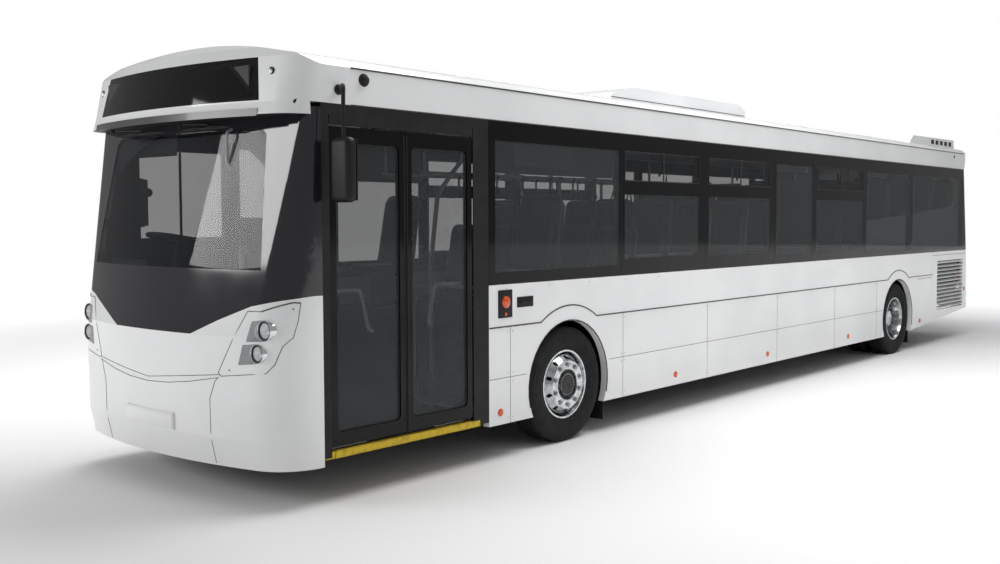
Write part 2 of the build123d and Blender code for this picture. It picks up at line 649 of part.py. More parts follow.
def rear_rim():
    """Twin rims back to back on one hub, the outer one deeply dished."""
    half = RIM_WIDTH / 2
    seat = RIM_R - 0.5
    outer = [(seat, -half), (seat, half), (seat - 14, half), (seat - 24, half - 30), (248, 0), (236, -120), (200, -152),
             (120, -159), (120, -40), (100, 40), (0, 44), (0, -50), (SPINDLE_R + 0.3, -50), (SPINDLE_R + 0.3, -159),
             (200, -159.01), (230, -150), (seat - 22, -half + 26)]
    rim = revolve(make_face(Polyline(*[(r, y, 0) for r, y in outer], close=True)), axis=Axis.Y)
    return rim


def wheel_at(shape, x, y, side):
    """Places a wheel drawn for the left side, outside face towards +Y."""
    placed = Pos(x, y, TYRE_R) * shape
    return placed if side > 0 else mirrored(placed)


def front_axle():
    """Drop-centre beam: low across the middle, stepped up inside the wheel boxes to an eye for each kingpin."""
    half = [(0, BEAM_LOW_Z), (660, BEAM_LOW_Z), (745, 425), (KINGPIN_Y, EYE_LOW_Z), (KINGPIN_Y, EYE_TOP_Z), (735, 505),
            (640, RAIL_LOW_Z), (0, RAIL_LOW_Z)]
    beam = end_prism(half, FRONT_AXLE_X - BEAM_HALF, FRONT_AXLE_X + BEAM_HALF)
    beam = beam + upright(FRONT_AXLE_X, KINGPIN_Y, EYE_R, EYE_LOW_Z, EYE_TOP_Z)
    beam = beam - upright(FRONT_AXLE_X, KINGPIN_Y, KINGPIN_R + 0.3, 300, 700)
    return beam + mirrored(beam)


def knuckle():
    """Left steering knuckle: a fork on the kingpin, the stub axle and the steering arm below the beam."""
    x = FRONT_AXLE_X
    y = KINGPIN_Y
    fork_low = (EYE_LOW_Z - 34, EYE_LOW_Z - 5)
    fork_top = (EYE_TOP_Z + 2, EYE_TOP_Z + 30)
    arm = (EYE_LOW_Z - 45, EYE_LOW_Z - 20)
    body = upright(x, y, KINGPIN_R, fork_low[0], fork_top[1])
    for levels in (fork_low, fork_top):
        body = body + upright(x, y, 32, *levels) + block(x - 32, x + 32, y, y + 62, *levels)
    body = body + block(x - 40, x + 40, y + 42, y + 64, fork_low[0], fork_top[1])
    body = body + across(x, TYRE_R, STUB_R, y + 60, TRACK_Y + STUB_REACH)
    return body + block(x - 200, x - 20, y - 60, y - 28, *arm) + block(x - 40, x - 15, y - 40, y + 30, *arm)


def rear_axle():
    """Drive axle: tubular casing with the round final drive housing, spindles, and seats on the rails."""
    tube = across(REAR_AXLE_X, TYRE_R, 70, -690, 690)
    tube = tube + across(REAR_AXLE_X, TYRE_R, SPINDLE_R, -(TRACK_Y - 60), TRACK_Y - 60)
    bowl = across(REAR_AXLE_X, TYRE_R, 205, -130, 130)
    for y in (-RAIL_LINE_Y, RAIL_LINE_Y):
        tube = tube + block(REAR_AXLE_X - 60, REAR_AXLE_X + 60, y - 35, y + 35, RAIL_TOP_Z, TYRE_R - 40)
    return tube + bowl


def leaf_at(edge_x, direction):
    """One door leaf from its jamb edge: a frame with a window, a lug and pin at each end, and its glass."""
    x0, x1 = sorted((edge_x, edge_x + direction * 2 * LEAF_HALF))
    y0, y1 = DOOR_Y - LEAF_THICKNESS / 2, DOOR_Y + LEAF_THICKNESS / 2
    frame = block(x0, x1, y0, y1, LEAF_BOTTOM_Z, LEAF_TOP_Z)
    gx0, gx1, gz0, gz1 = x0 + LEAF_EDGE, x1 - LEAF_EDGE, LEAF_BOTTOM_Z + 89, LEAF_TOP_Z - 100
    opening = fillet(block(gx0, gx1, y0 - 5, y1 + 5, gz0, gz1).edges().filter_by(Axis.Y), 40)
    pane = fillet(block(gx0, gx1, DOOR_Y - 4, DOOR_Y + 4, gz0, gz1).edges().filter_by(Axis.Y), 40)
    frame = frame - opening
    middle = (x0 + x1) / 2
    for face_z, out in ((LEAF_BOTTOM_Z, -1), (LEAF_TOP_Z, 1)):
        lug = sorted((face_z - out, face_z + out * 7))
        pin = sorted((face_z, face_z + out * (7 + CRANK_CLEAR + CRANK_THICKNESS - 0.5)))
        frame = frame + block(middle - 22, middle + 22, PILLAR_Y - 14, DOOR_Y, *lug)
        frame = frame + upright(middle, PILLAR_Y, PIN_R, *pin)
    return frame, pane


def crank_at(edge_x, direction):
    """Door pillar beyond the leaf's edge, with a crank under and over the leaf that ends at the leaf's middle."""
    pillar_x = edge_x - direction * PILLAR_OUTSET
    middle = edge_x + direction * LEAF_HALF
    body = upright(pillar_x, PILLAR_Y, PILLAR_R, LOW_FLOOR_Z + 0.3, HEADER_Z - 0.3)
    x0, x1 = sorted((pillar_x, middle))
    for face_z, out in ((LEAF_BOTTOM_Z, -1), (LEAF_TOP_Z, 1)):
        near = face_z + out * (7 + CRANK_CLEAR)
        levels = sorted((near, near + out * CRANK_THICKNESS))
        bar = block(x0, x1, PILLAR_Y - 11, PILLAR_Y + 11, *levels)
        bar = bar + upright(middle, PILLAR_Y, 15, *levels)
        body = body + (bar - upright(middle, PILLAR_Y, PIN_R + PIN_CLEAR, levels[0] - 5, levels[1] + 5))
    return body


def door_frame():
    """Black portal round the door: header over the door gear, a rear post, and thin plates beside the leaves."""
    header = block(DOOR_POST_X, FRONT_MODULE_X, SIDE_Y - HEADER_DEPTH, SIDE_Y - 1, HEADER_Z, CANT_Z)
    plate_y = SIDE_Y - JAMB_PLATE
    cover = block(REAR_EDGE_X, FRONT_EDGE_X, plate_y, SIDE_Y - 1, LEAF_TOP_Z + 10, HEADER_Z + 5)
    jamb_front = block(FRONT_EDGE_X + 6, FRONT_MODULE_X, plate_y, SIDE_Y - 1, SKIRT_Z + 36, HEADER_Z + 5)
    jamb_rear = block(DOOR_POST_X, REAR_EDGE_X - 6, plate_y, SIDE_Y - 1, LOW_FLOOR_Z, HEADER_Z + 5)
    post = block(DOOR_POST_X, DOOR_POST_X + 90, INNER_Y, SIDE_Y - 1, SKIRT_Z + 36, HEADER_Z + 5)
    return header + cover + jamb_front + jamb_rear + post


def door_step():
    """Coloured edge of the entrance step, carried on under the front jamb."""
    edge = block(STEP_REAR_X, STEP_FRONT_X, INNER_Y, SIDE_Y - 1, STEP_Z, LOW_FLOOR_Z)
    return edge + block(STEP_FRONT_X - 1, FRONT_MODULE_X - 15, INNER_Y, SIDE_Y - JAMB_PLATE - 0.5, STEP_Z, LOW_FLOOR_Z)


def seat(height, rise):
    """One seat standing at the origin: its shell on a pedestal, and the two pads on the shell."""
    half = SEAT_WIDTH / 2
    low_x = SEAT_LEAN
    shell = side_prism([(low_x, rise - 60), (-20, height - 10), (SEAT_SHELL - 20, height - 4),
                        (low_x + SEAT_SHELL, rise - 20), (low_x + SEAT_DEPTH, rise - 8),
                        (low_x + SEAT_DEPTH, rise - 34)], -half, half)
    shell = shell & round_block(-100, 700, -half, half, -400, height - 4, SEAT_CORNER, Axis.X)
    pedestal = block(low_x + 110, low_x + 250, -90, 90, 0.3, rise - 30)
    pad = side_prism([(low_x + SEAT_SHELL + SEAT_LIFT, rise - 20 + SEAT_LIFT), (low_x + SEAT_DEPTH - 4, rise - 8 + SEAT_LIFT),
                      (low_x + SEAT_DEPTH, rise + 40), (low_x + SEAT_SHELL + SEAT_PAD, rise + 52)], 8 - half, half - 8)
    foot_x = low_x + SEAT_SHELL - (low_x + 20) * 76 / (height - 4 - rise + 20)
    back = side_prism([(foot_x + SEAT_LIFT, rise + 56), (SEAT_SHELL - 20 + SEAT_LIFT, height - 4),
                       (SEAT_SHELL + 30, height - 20), (foot_x + SEAT_PAD, rise + 62)], 8 - half, half - 8)
    back = back & round_block(-100, 700, 8 - half, half - 8, 0, height - 8, SEAT_CORNER, Axis.X)
    return shell + pedestal, group(pad, back)


def seats():
    """All passenger seats: shells of the left row, of the right row, and every pad."""
    places = []
    for x, base_z, top_z, has_left, has_right in SEATS:
        lines = (860,) if base_z == WHEEL_BOX_TOP else SEAT_LINES
        places += [(x, base_z, top_z, side * y) for side, wanted in ((1, has_left), (-1, has_right)) if wanted
                   for y in lines]
    places += [(BENCH_X, PODIUMS[-1][2] if y else DECK_Z, SEATS[-1][2], y) for y in BENCH_LINES]
    shells = {1: [], -1: []}
    pads = []
    drawn = {}
    for x, base_z, top_z, y in places:
        rise = CUSHION_RISE if base_z < WHEEL_BOX_TOP else DECK_CUSHION_RISE
        kind = (top_z - base_z, rise)
        if kind not in drawn:
            drawn[kind] = seat(*kind)
        shell, pair = drawn[kind]
        shells[1 if y > 0 else -1].append(Pos(x, y, base_z) * shell)
        pads.append(Pos(x, y, base_z) * pair)
    return shells, pads


def grab_rails():
    """Ceiling rails with hangers over them and poles under them, and the bowed pole behind the door."""
    pieces = []
    for y in (-RAIL_Y, RAIL_Y):
        pieces.append(along(y, RAIL_Z, RAIL_R, RAIL_REAR_X, RAIL_FRONT_X))
        for x in RAIL_HANGERS:
            pieces.append(upright(x, y, HANGER_R, RAIL_Z + RAIL_R + RAIL_SEAT, roof_inner_z(abs(y) + HANGER_R) - 0.3))
        for x, foot_z in RAIL_POLES:
            pieces.append(upright(x, y, RAIL_R, foot_z + 0.3, RAIL_Z - RAIL_R - RAIL_SEAT))
    head_z = RAIL_Z + 100
    pieces.append(bent_tube([(BOW_X, BOW_Y, LOW_FLOOR_Z + 0.3), (BOW_X, BOW_Y, 1500), (BOW_X - 80, BOW_Y, 2050),
                             (BOW_X - 360, BOW_Y, head_z)], 200, BOW_R)
                  + upright(BOW_X - 360, BOW_Y, 14, head_z - 5, roof_inner_z(BOW_Y + 14) - 0.3))
    return group(*pieces)


def roof_inner_z(y):
    """Level of the roof's inner face at a distance from the middle."""
    rise = ROOF_Z - SHOULDER_Z
    crown_r = (SHOULDER_Y ** 2 + rise ** 2) / (2 * rise)
    return ROOF_Z - crown_r + math.sqrt((crown_r - SHELL) ** 2 - y ** 2)


def dashboard():
    """Driver's fascia behind the windscreen, and the lower shelf that carries it on towards the door."""
    tall = side_prism([(BEYOND_NOSE_X, 1000), (BEYOND_NOSE_X, 1480), (DASH_X + 155, 1480), (DASH_X + 85, 1400),
                       (DASH_X + 80, 1270), (DASH_X + 25, 1000)], -960, -250)
    shelf = side_prism([(BEYOND_NOSE_X, 1000), (BEYOND_NOSE_X, 1250), (DASH_X + 25, 1210), (DASH_X + 25, 1000)], -250, 880)
    front = block(DASH_X + 45, NOSE_X - 325, -955, 860, LOW_FLOOR_Z + 0.3, 1005)
    inner = end_body(NOSE_SECTIONS, SIDE_Y, FRONT_MODULE_X, SHELL + 0.3)
    return (tall + shelf + front) & inner


def steering_wheel():
    """Rim, spokes and hub on a raked column that ends at the cab's floor."""
    ring = Torus(STEER_R, 16)
    bars = Box(2 * STEER_R, 36, 14) + Box(36, 2 * STEER_R, 14) + Cylinder(48, 24)
    place = Pos(STEER_X, DRIVER_Y, STEER_Z) * Rot(0, -STEER_TILT, 0)
    reach = (STEER_Z - CAB_FLOOR_Z) / math.cos(math.radians(STEER_TILT)) + 20
    column = place * Pos(0, 0, -reach / 2) * Cylinder(34, reach)
    column = column - block(STEER_X - 400, BEYOND_NOSE_X, -SIDE_Y, 0, 0, CAB_FLOOR_Z + 0.3)
    return place * (ring + bars) + column


def driver_seat():
    """Driver's shell seat with its headrest on a sprung pillar."""
    x = DRIVER_SEAT_X
    z = CAB_FLOOR_Z
    shell = side_prism([(x + 80, z + 515), (x - 40, z + 1290), (x - 45, z + 1480), (x + 15, z + 1490), (x + 60, z + 1300),
                        (x + 190, z + 615), (x + 560, z + 630), (x + 560, z + 555), (x + 120, z + 505)],
                       DRIVER_Y - 250, DRIVER_Y + 250)
    shell = shell & round_block(x - 200, x + 800, DRIVER_Y - 250, DRIVER_Y + 250, z, z + 1490, 110, Axis.X)
    return shell + block(x + 180, x + 440, DRIVER_Y - 160, DRIVER_Y + 160, z + 0.3, z + 535)


def cab_partition():
    """Raised floor of the cab, the panel behind the driver and the low screen at the driver's left."""
    back_x = NOSE_X - 1845
    edge = -INNER_Y + 0.6
    base = block(back_x, FRONT_MODULE_X + 10, edge, -230, LOW_FLOOR_Z + 0.3, CAB_FLOOR_Z)
    back = block(back_x, back_x + 30, edge, -230, CAB_FLOOR_Z, 2100)
    screen = block(back_x + 30, NOSE_X - 925, -260, -230, CAB_FLOOR_Z, 1600)
    return base + back + screen


def mudguards():
    """Rubber flaps behind each wheel."""
    flaps = []
    for x in (FRONT_AXLE_X, REAR_AXLE_X):
        for side in (1, -1):
            y0, y1 = sorted((side * 930, side * (INNER_Y - 0.3)))
            flap_x = x - WHEEL_BOX_HALF + SHEET + 0.3
            flaps.append(block(flap_x, flap_x + FLAP_THICKNESS, y0, y1, FLAP_Z, FLAP_TOP_Z))
    return group(*flaps)


def roof_units():
    """Air conditioning unit amidships and the small vented housing above the rear corner."""
    low = SHOULDER_Z - 20
    front = side_prism([(ROOF_UNIT_REAR_X, low), (ROOF_UNIT_FRONT_X, low), (ROOF_UNIT_FRONT_X - 60, ROOF_UNIT_TOP - 70),
                        (ROOF_UNIT_FRONT_X - 420, ROOF_UNIT_TOP), (ROOF_UNIT_REAR_X + 160, ROOF_UNIT_TOP),
                        (ROOF_UNIT_REAR_X, ROOF_UNIT_TOP - 60)], -ROOF_UNIT_HALF, ROOF_UNIT_HALF)
    x0, x1, y0, y1 = REAR_HOUSING
    top = ROOF_Z + 28
    rear = side_prism([(x0, low), (x1, low), (x1 - 210, top - 18), (x0 + 20, top)], y0, y1)
    under = roof_section(0, TAIL_X + 225, DOME_JOINT_X, 2300)
    return group(front - under, rear - under)


def mirrors():
    """Door-side mirror on a hanging arm, and the offside one on a short arm by the driver's window."""
    head = round_block(MIRROR_X - 45, MIRROR_X + 45, MIRROR_Y - 92, MIRROR_Y + 92, 1955, 2365, 34)
    head = head & round_block(MIRROR_X - 60, MIRROR_X + 60, MIRROR_Y - 92, MIRROR_Y + 92, 1955, 2365, 60, Axis.X)
    arm = bent_tube([(MIRROR_X - 105, SIDE_Y + 10, 2680), (MIRROR_X - 30, MIRROR_Y - 30, 2700),
                     (MIRROR_X, MIRROR_Y, 2600), (MIRROR_X, MIRROR_Y, 2300)], 40, 13)
    foot = across(MIRROR_X - 105, 2680, 34, SIDE_Y + 0.3, SIDE_Y + 22)
    off_head = round_block(OFF_MIRROR_X - 45, OFF_MIRROR_X + 45, -MIRROR_Y - 92, -MIRROR_Y + 92, 1780, 2180, 34)
    off_arm = across(OFF_MIRROR_X, 2060, 14, -MIRROR_Y, -SIDE_Y - 0.3)
    off_foot = across(OFF_MIRROR_X, 2060, 34, -SIDE_Y - 22, -SIDE_Y - 0.3)
    return group(head + arm + foot, off_head + off_arm + off_foot)


def wipers():
    """Two wipers that hang from pivots under the dome and lie along the top of the windscreen."""
    arms = []
    for pivot_y, blade_y in WIPERS:
        y0, y1 = sorted((pivot_y - 20, blade_y))
        arm = block(NOSE_X - 230, NOSE_X - 213, y0, y1, 2478, 2496)
        arms.append(arm + upright(NOSE_X - 222, pivot_y, 12, 2478, 2510 - 0.3))
    return group(*arms)


def lamps():
    """Round headlamps, roof marker lamps, side markers and tail lamps."""
    pieces = []
    inner = end_body(NOSE_SECTIONS, SIDE_Y, FRONT_MODULE_X, 12)
    for side in (1, -1):
        for y, z, radius in FRONT_LAMPS:
            pieces.append(along(side * y, z, radius, NOSE_X - 205, NOSE_X + 15) & inner)
    for x, z in SIDE_MARKERS:
        for side in (1, -1):
            y0, y1 = sorted((side * (SIDE_Y + 0.3), side * (SIDE_Y + 12)))
            pieces.append(across(x, z, 30, y0, y1))
    back = tail(end_body(TAIL_SECTIONS, SIDE_Y, -REAR_MODULE_X))
    for z in TAIL_LAMP_LEVELS:
        for side in (1, -1):
            pieces.append(along(side * TAIL_LAMP_Y, z, TAIL_LAMP_R, BEYOND_TAIL_X, TAIL_X + 125) & back)
    return group(*pieces)


def engine():
    """Engine, gearbox and radiator pack as one plain block under the rear deck."""
    half = RAIL_LINE_Y - 10
    return block(TAIL_X + 425, REAR_AXLE_X - 895, -half, half, RAIL_TOP_Z, DECK_Z - FLOOR_THICKNESS - 15)


windscreen, surround, corners, bumper, panel = nose_pieces()
dome, display = dome_pieces()
rear_wall, rear_glass, hatch = tail_pieces()
side_left = lower_side(DOOR_POST_X)
side_left = side_left - block(GRILLE_X0, GRILLE_X1, INNER_Y - 10, SIDE_Y + 10, GRILLE_Z0, GRILLE_Z1)
side_right = mirrored(lower_side(FRONT_MODULE_X))
frame_left, glass_left = glazing_band(DOOR_POST_X)
frame_right, glass_right = glazing_band(FRONT_MODULE_X, [DRIVER_WINDOW, OFFSIDE_WINDOW])
shells, pads = seats()
front_leaf, front_pane = leaf_at(FRONT_EDGE_X, -1)
rear_leaf, rear_pane = leaf_at(REAR_EDGE_X, 1)
wheel_tyre, wheel_front, wheel_rear = tyre(), front_rim(), rear_rim()
twin_tyres = group(wheel_tyre, Pos(0, -TWIN_SPACING, 0) * wheel_tyre)
twin_rims = wheel_rear + Pos(0, -TWIN_SPACING, 0) * mirrored(wheel_rear)
twin_rims = twin_rims - across(0, 0, SPINDLE_R + 0.3, -400, -50)

NODES = {
    "windscreen": windscreen,
    "windscreen_surround": surround,
    "front_corners": corners,
    "front_bumper": bumper,
    "front_panel": panel,
    "front_dome": dome,
    "destination_glass": display,
    "roof": roof(),
    "roof_units": roof_units(),
    "side_panel_left": side_left,
    "side_panel_right": side_right,
    "side_grille": side_grille(),
    "window_frame_left": frame_left,
    "window_frame_right": mirrored(frame_right),
    "side_glass_left": glass_left,
    "side_glass_right": mirrored(glass_right),
    "rear_panel": rear_wall,
    "rear_glass": rear_glass,
    "engine_door": hatch,
    "door_frame": door_frame(),
    "door_step": door_step(),
    "door_leaf_front": front_leaf,
    "door_glass_front": front_pane,
    "door_crank_front": crank_at(FRONT_EDGE_X, -1),
    "door_leaf_rear": rear_leaf,
    "door_glass_rear": rear_pane,
    "door_crank_rear": crank_at(REAR_EDGE_X, 1),
    "floor": low_floor(),
    "rear_deck": rear_deck(),
    "podiums": podiums(),
    "wheel_boxes": wheel_boxes(),
    "chassis_rails": chassis_rails(),
    "chassis_members": chassis_members(),
    "engine": engine(),
    "front_axle": front_axle(),
    "rear_axle": rear_axle(),
    "knuckle_left": knuckle(),
    "knuckle_right": mirrored(knuckle()),
    "front_tyre_left": wheel_at(wheel_tyre, FRONT_AXLE_X, TRACK_Y, 1),
    "front_tyre_right": wheel_at(wheel_tyre, FRONT_AXLE_X, TRACK_Y, -1),
    "front_rim_left": wheel_at(wheel_front, FRONT_AXLE_X, TRACK_Y, 1),
    "front_rim_right": wheel_at(wheel_front, FRONT_AXLE_X, TRACK_Y, -1),
    "rear_tyres_left": wheel_at(twin_tyres, REAR_AXLE_X, TRACK_Y, 1),
    "rear_tyres_right": wheel_at(twin_tyres, REAR_AXLE_X, TRACK_Y, -1),
    "rear_rims_left": wheel_at(twin_rims, REAR_AXLE_X, TRACK_Y, 1),
    "rear_rims_right": wheel_at(twin_rims, REAR_AXLE_X, TRACK_Y, -1),
    "seats_left": group(*shells[1]),
    "seats_right": group(*shells[-1]),
    "seat_pads": group(*pads),
    "driver_seat": driver_seat(),
    "dashboard": dashboard(),
    "steering_wheel": steering_wheel(),
    "cab_partition": cab_partition(),
    "grab_rails": grab_rails(),
    "mudflaps": mudguards(),
    "mirrors": mirrors(),
    "wipers": wipers(),
    "lamps": lamps(),
}
for name, shape in NODES.items():
    save(shape, name)
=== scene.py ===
"""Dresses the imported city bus: finishes, tyres, glazing, saloon, lamps and studio, laid out as an add-on.

Metres. +X points to the nose, +Y to the door side, +Z up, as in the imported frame.
"""
import bpy
import math
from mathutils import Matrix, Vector


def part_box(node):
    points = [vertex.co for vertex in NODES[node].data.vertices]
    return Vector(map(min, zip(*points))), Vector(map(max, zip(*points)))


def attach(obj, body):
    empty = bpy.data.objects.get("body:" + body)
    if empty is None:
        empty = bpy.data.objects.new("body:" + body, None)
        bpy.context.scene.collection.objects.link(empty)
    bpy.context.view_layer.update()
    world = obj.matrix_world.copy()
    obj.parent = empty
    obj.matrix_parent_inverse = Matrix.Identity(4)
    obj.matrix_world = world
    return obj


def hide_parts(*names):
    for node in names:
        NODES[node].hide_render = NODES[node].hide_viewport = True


bl_info = {
    "name": "City Bus Dressing",
    "version": (1, 0, 0),
    "blender": (4, 5, 0),
    "location": "View3D > Sidebar > City Bus",
    "description": "Builds the visible detail and finishes of a single-deck city bus around its frame",
    "category": "Object",
}

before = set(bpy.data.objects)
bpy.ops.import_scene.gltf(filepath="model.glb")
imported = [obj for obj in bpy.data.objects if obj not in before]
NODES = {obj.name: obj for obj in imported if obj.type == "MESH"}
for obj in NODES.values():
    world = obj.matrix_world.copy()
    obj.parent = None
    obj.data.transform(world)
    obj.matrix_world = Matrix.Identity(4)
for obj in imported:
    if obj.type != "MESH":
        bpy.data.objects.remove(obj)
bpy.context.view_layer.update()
ROOT = "body"

# Places that the frame gives, in metres
SIDE_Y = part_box("side_panel_left")[1].y
BELT_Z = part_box("side_panel_left")[1].z
POST_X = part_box("side_panel_left")[1].x
NOSE_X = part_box("front_bumper")[1].x
FRONT_HUB = (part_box("front_tyre_left")[0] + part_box("front_tyre_left")[1]) / 2
REAR_HUB = (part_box("rear_tyres_left")[0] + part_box("rear_tyres_left")[1]) / 2
TYRE_R = (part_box("front_tyre_left")[1].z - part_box("front_tyre_left")[0].z) / 2
TYRE_HALF = (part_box("front_tyre_left")[1].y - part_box("front_tyre_left")[0].y) / 2
TWIN_SPACING = 0.318
STEP_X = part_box("rear_deck")[1].x
DECK_FRONT = STEP_X - 0.388
DRIVER_Y = -0.640
SIDES = {"left": 1, "right": -1}
# Curved ends of the body: level, tip behind the foremost point, arc radius, corner radius
NOSE_TABLE = ((0.26, -0.045, 4.5, 0.33), (0.45, -0.004, 4.5, 0.33), (0.8, 0.0, 4.5, 0.33),
              (1.107, -0.012, 4.5, 0.32),
              (1.6, -0.104, 5.2, 0.25), (2.08, -0.204, 6.4, 0.16), (2.56, -0.302, 8.0, 0.08))
DOME_TABLE = ((2.51, -0.105, 4.6, 0.22), (2.59, -0.130, 4.6, 0.22), (2.88, -0.188, 4.6, 0.22),
              (2.955, -0.240, 4.6, 0.22),
              (3.03, -0.375, 4.6, 0.22))
TAIL_TABLE = ((0.45, 0.0, 16.0, 0.07), (1.4, -0.064, 16.0, 0.07), (2.585, -0.235, 16.0, 0.07),
              (2.68, -0.190, 16.0, 0.07),
              (2.85, -0.182, 16.0, 0.07), (2.95, -0.215, 16.0, 0.07), (3.03, -0.3, 16.0, 0.07))


# Finishes

def linear(code):
    """Linear colour of an sRGB hex code."""
    parts = [int(code[i:i + 2], 16) / 255 for i in (1, 3, 5)]
    return tuple(c / 12.92 if c <= 0.04045 else ((c + 0.055) / 1.055) ** 2.4 for c in parts) + (1.0,)


def add_node(finish, kind, links=None, **settings):
    """Adds one node, sets its properties and sockets by name, and links the named sockets."""
    tree = finish.node_tree
    node = tree.nodes.new(kind)
    for key, value in settings.items():
        if key in node.bl_rna.properties:
            setattr(node, key, value)
        else:
            node.inputs[key.replace("_", " ")].default_value = value
    for key, source in (links or {}).items():
        tree.links.new(source, node.inputs[key])
    return node


def shader_of(finish):
    return finish.node_tree.nodes["Principled BSDF"]


def new_finish(name, colour, roughness, metallic=0.0, **sockets):
    """A material with its plain values on the shader's own sockets."""
    finish = bpy.data.materials.new(name)
    finish.use_nodes = True
    shader = shader_of(finish)
    shader.inputs["Base Color"].default_value = linear(colour)
    shader.inputs["Roughness"].default_value = roughness
    shader.inputs["Metallic"].default_value = metallic
    for key, value in sockets.items():
        shader.inputs[key.replace("_", " ")].default_value = value
    return finish


def place_node(finish):
    found = [n for n in finish.node_tree.nodes if n.bl_idname == "ShaderNodeTexCoord"]
    return found[0] if found else add_node(finish, "ShaderNodeTexCoord")


def noise(finish, size_mm, detail=3.0, stretch=(1, 1, 1)):
    """Noise on object coordinates whose blotches are about size_mm across."""
    turned_to = add_node(finish, "ShaderNodeMapping", {"Vector": place_node(finish).outputs["Object"]})
    turned_to.inputs["Scale"].default_value = stretch
    return add_node(finish, "ShaderNodeTexNoise", {"Vector": turned_to.outputs["Vector"]},
                    Scale=1000 / size_mm, Detail=detail)


def vary_colour(finish, colour, other, size_mm, low=0.4, high=0.65):
    """The base colour drifts between two colours in blotches of a real size."""
    blotch = noise(finish, size_mm)
    ramp = add_node(finish, "ShaderNodeMapRange", {"Value": blotch.outputs["Fac"]}, From_Min=low, From_Max=high)
    mix = add_node(finish, "ShaderNodeMix", {"Factor": ramp.outputs["Result"]}, data_type="RGBA")
    mix.inputs[6].default_value = linear(colour)
    mix.inputs[7].default_value = linear(other)
    finish.node_tree.links.new(mix.outputs[2], shader_of(finish).inputs["Base Color"])
    return mix


def vary_roughness(finish, low, high, size_mm):
    blotch = noise(finish, size_mm)
    ramp = add_node(finish, "ShaderNodeMapRange", {"Value": blotch.outputs["Fac"]},
                    From_Min=0.35, From_Max=0.65, To_Min=low, To_Max=high)
    finish.node_tree.links.new(ramp.outputs["Result"], shader_of(finish).inputs["Roughness"])


def relief(finish, height, depth_mm, strength=1.0):
    """Bump from a height output, with its depth in real millimetres."""
    bump = add_node(finish, "ShaderNodeBump", {"Height": height}, Distance=depth_mm / 1000, Strength=strength)
    finish.node_tree.links.new(bump.outputs["Normal"], shader_of(finish).inputs["Normal"])
    return bump


def tint_towards_ground(finish, base, ground_colour, top_z, strength):
    """A second colour mixed over the base colour mix, more of it towards the ground."""
    axes = add_node(finish, "ShaderNodeSeparateXYZ", {"Vector": place_node(finish).outputs["Object"]})
    fade = add_node(finish, "ShaderNodeMapRange", {"Value": axes.outputs["Z"]},
                    From_Min=top_z, From_Max=0.2, To_Min=0.0, To_Max=strength)
    mix = add_node(finish, "ShaderNodeMix", {"Factor": fade.outputs["Result"], 6: base}, data_type="RGBA")
    mix.inputs[7].default_value = linear(ground_colour)
    finish.node_tree.links.new(mix.outputs[2], shader_of(finish).inputs["Base Color"])


